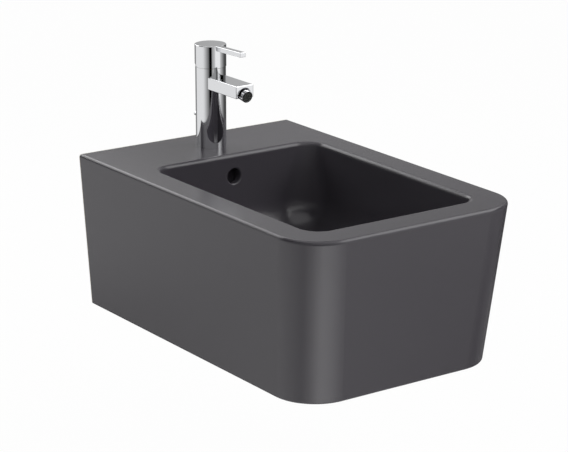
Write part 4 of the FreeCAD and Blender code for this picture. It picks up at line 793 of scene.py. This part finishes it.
class BIDET_OT_stage(bpy.types.Operator):
    """Set the floor, the light tent and the camera"""

    bl_idname = "bidet.stage"
    bl_label = "Stage"

    def execute(self, context):
        look = context.scene.bidet_stage
        context.scene.view_settings.view_transform = "Standard"
        self.white_world(context.scene, look)
        self.floor(look)
        for ring in TENT_RINGS:
            self.tent_ring(look, *ring)
        self.camera(context.scene, look)
        return {"FINISHED"}

    @staticmethod
    def white_world(scene, look):
        """A world that is white to the eye and in reflections, and lights the object at a plain level."""
        world = bpy.data.worlds.new("studio")
        world.use_nodes = True
        scene.world = world
        tree = world.node_tree
        tree.nodes.clear()
        path = add_node(tree, "ShaderNodeLightPath").outputs
        seen = add_node(tree, "ShaderNodeMath", links={0: path["Is Camera Ray"], 1: path["Is Glossy Ray"]},
                        operation="MAXIMUM")
        seen = add_node(tree, "ShaderNodeMath", links={0: seen, 1: path["Is Transmission Ray"]},
                        operation="MAXIMUM")
        level = add_node(tree, "ShaderNodeMix", {"A": look.sky, "B": 1.0}, {"Factor": seen})
        light = add_node(tree, "ShaderNodeBackground", {"Color": (1, 1, 1, 1)}, {"Strength": level})
        add_node(tree, "ShaderNodeOutputWorld", links={"Surface": light})

    @staticmethod
    def floor(look):
        """A pale painted floor, which the camera sees as white but for the object's shadow.

        Reflections pass it by, and show the tent's lower rings.
        """
        deselect()
        bpy.ops.mesh.primitive_plane_add(size=FLOOR_SPAN, location=(0, 0, RIM_Z - look.floor_below_rim))
        floor = bpy.context.object
        floor.name = "floor"
        material, tree, _ = new_material("painted_floor")
        coat = add_node(tree, "ShaderNodeBsdfDiffuse", {"Color": FLOOR_PAINT})
        white = add_node(tree, "ShaderNodeEmission", {"Strength": 1.0})
        path = add_node(tree, "ShaderNodeLightPath")
        share = add_node(tree, "ShaderNodeMath", {1: look.floor_white}, {0: path.outputs["Is Camera Ray"]},
                         operation="MULTIPLY")
        mix = add_node(tree, "ShaderNodeMixShader", links={0: share, 1: coat, 2: white})
        add_node(tree, "ShaderNodeOutputMaterial", links={"Surface": mix})
        floor.data.materials.append(material)
        floor.visible_glossy = False

    @staticmethod
    def tent_ring(look, name, top, foot, levels):
        """One ring of the round tent, which is as bright round its circle as its levels say."""
        deselect()
        bpy.ops.mesh.primitive_cylinder_add(
            vertices=TENT_SIDES, radius=look.tent_radius, depth=top - foot, end_fill_type="NOTHING",
            location=(0, TENT_Y, (top + foot) / 2))
        ring = bpy.context.object
        ring.name = name
        material, tree, place = new_material(name + "_cloth")
        towards = (-math.sin(look.azimuth), -math.cos(look.azimuth), 0)
        right = (math.cos(look.azimuth), -math.sin(look.azimuth), 0)
        ahead = add_node(tree, "ShaderNodeVectorMath", {1: towards}, {0: place}, operation="DOT_PRODUCT")
        aside = add_node(tree, "ShaderNodeVectorMath", {1: right}, {0: place}, operation="DOT_PRODUCT")
        angle = add_node(tree, "ShaderNodeMath",
                         links={0: aside.outputs["Value"], 1: ahead.outputs["Value"]}, operation="ARCTAN2")
        turn = add_node(tree, "ShaderNodeMapRange", {"From Min": -math.pi, "From Max": math.pi},
                        {"Value": angle})
        ramp = add_node(tree, "ShaderNodeValToRGB", links={"Fac": turn})
        stops = ramp.color_ramp.elements
        for degrees, _ in levels[1:-1]:
            stops.new(degrees / 360 + 0.5)
        peak = max(level for _, level in levels)
        for stop, (_, level) in zip(stops, levels):
            share = level / peak
            stop.color = (share, share, share, 1)
        glow = add_node(tree, "ShaderNodeEmission", {"Strength": peak}, {"Color": ramp})
        add_node(tree, "ShaderNodeOutputMaterial", links={"Surface": glow})
        ring.data.materials.append(material)
        ring.visible_camera = False
        ring.visible_shadow = False

    @staticmethod
    def camera(scene, look):
        """The photograph's camera, whose frame is 568 by 452 pixels."""
        data = bpy.data.cameras.new("photo_camera")
        data.sensor_width = SENSOR_WIDTH
        data.lens = look.lens
        data.clip_end = FAR_CLIP
        camera = bpy.data.objects.new("photo_camera", data)
        camera.location = look.camera_place
        camera.rotation_euler = Euler((math.pi / 2 - look.elevation, 0, -look.azimuth))
        scene.collection.objects.link(camera)
        scene.camera = camera


PIECES = (BIDET_OT_ceramic, BIDET_OT_fixings, BIDET_OT_mixer, BIDET_OT_cartridge, BIDET_OT_handle,
          BIDET_OT_nozzle, BIDET_OT_lift, BIDET_OT_waste, BIDET_OT_stage)


class BIDET_PT_panel(bpy.types.Panel):
    """The bidet's pieces in the sidebar"""

    bl_idname = "BIDET_PT_panel"
    bl_label = "Wall-hung bidet"
    bl_space_type = "VIEW_3D"
    bl_region_type = "UI"
    bl_category = "Bidet"

    def draw(self, context):
        for piece in PIECES:
            self.layout.operator(piece.bl_idname)


LOOKS = {"bidet_ceramic": CeramicLook, "bidet_fittings": FittingLook, "bidet_small_parts": SmallParts,
         "bidet_stage": StageLook}


def register():
    """Make the looks, the operators and the panel known to Blender."""
    for name, look in LOOKS.items():
        bpy.utils.register_class(look)
        setattr(bpy.types.Scene, name, PointerProperty(type=look))
    for piece in (*PIECES, BIDET_PT_panel):
        bpy.utils.register_class(piece)


def unregister():
    """Take them out again."""
    for piece in reversed((*PIECES, BIDET_PT_panel)):
        bpy.utils.unregister_class(piece)
    for name, look in LOOKS.items():
        delattr(bpy.types.Scene, name)
        bpy.utils.unregister_class(look)


def main():
    """Dress the frame piece by piece and set the stage."""
    register()
    bpy.ops.bidet.ceramic()
    bpy.ops.bidet.fixings()
    bpy.ops.bidet.mixer()
    bpy.ops.bidet.cartridge()
    bpy.ops.bidet.handle()
    bpy.ops.bidet.nozzle()
    bpy.ops.bidet.lift()
    bpy.ops.bidet.waste()
    bpy.ops.bidet.stage()


if __name__ == "__main__":
    main()
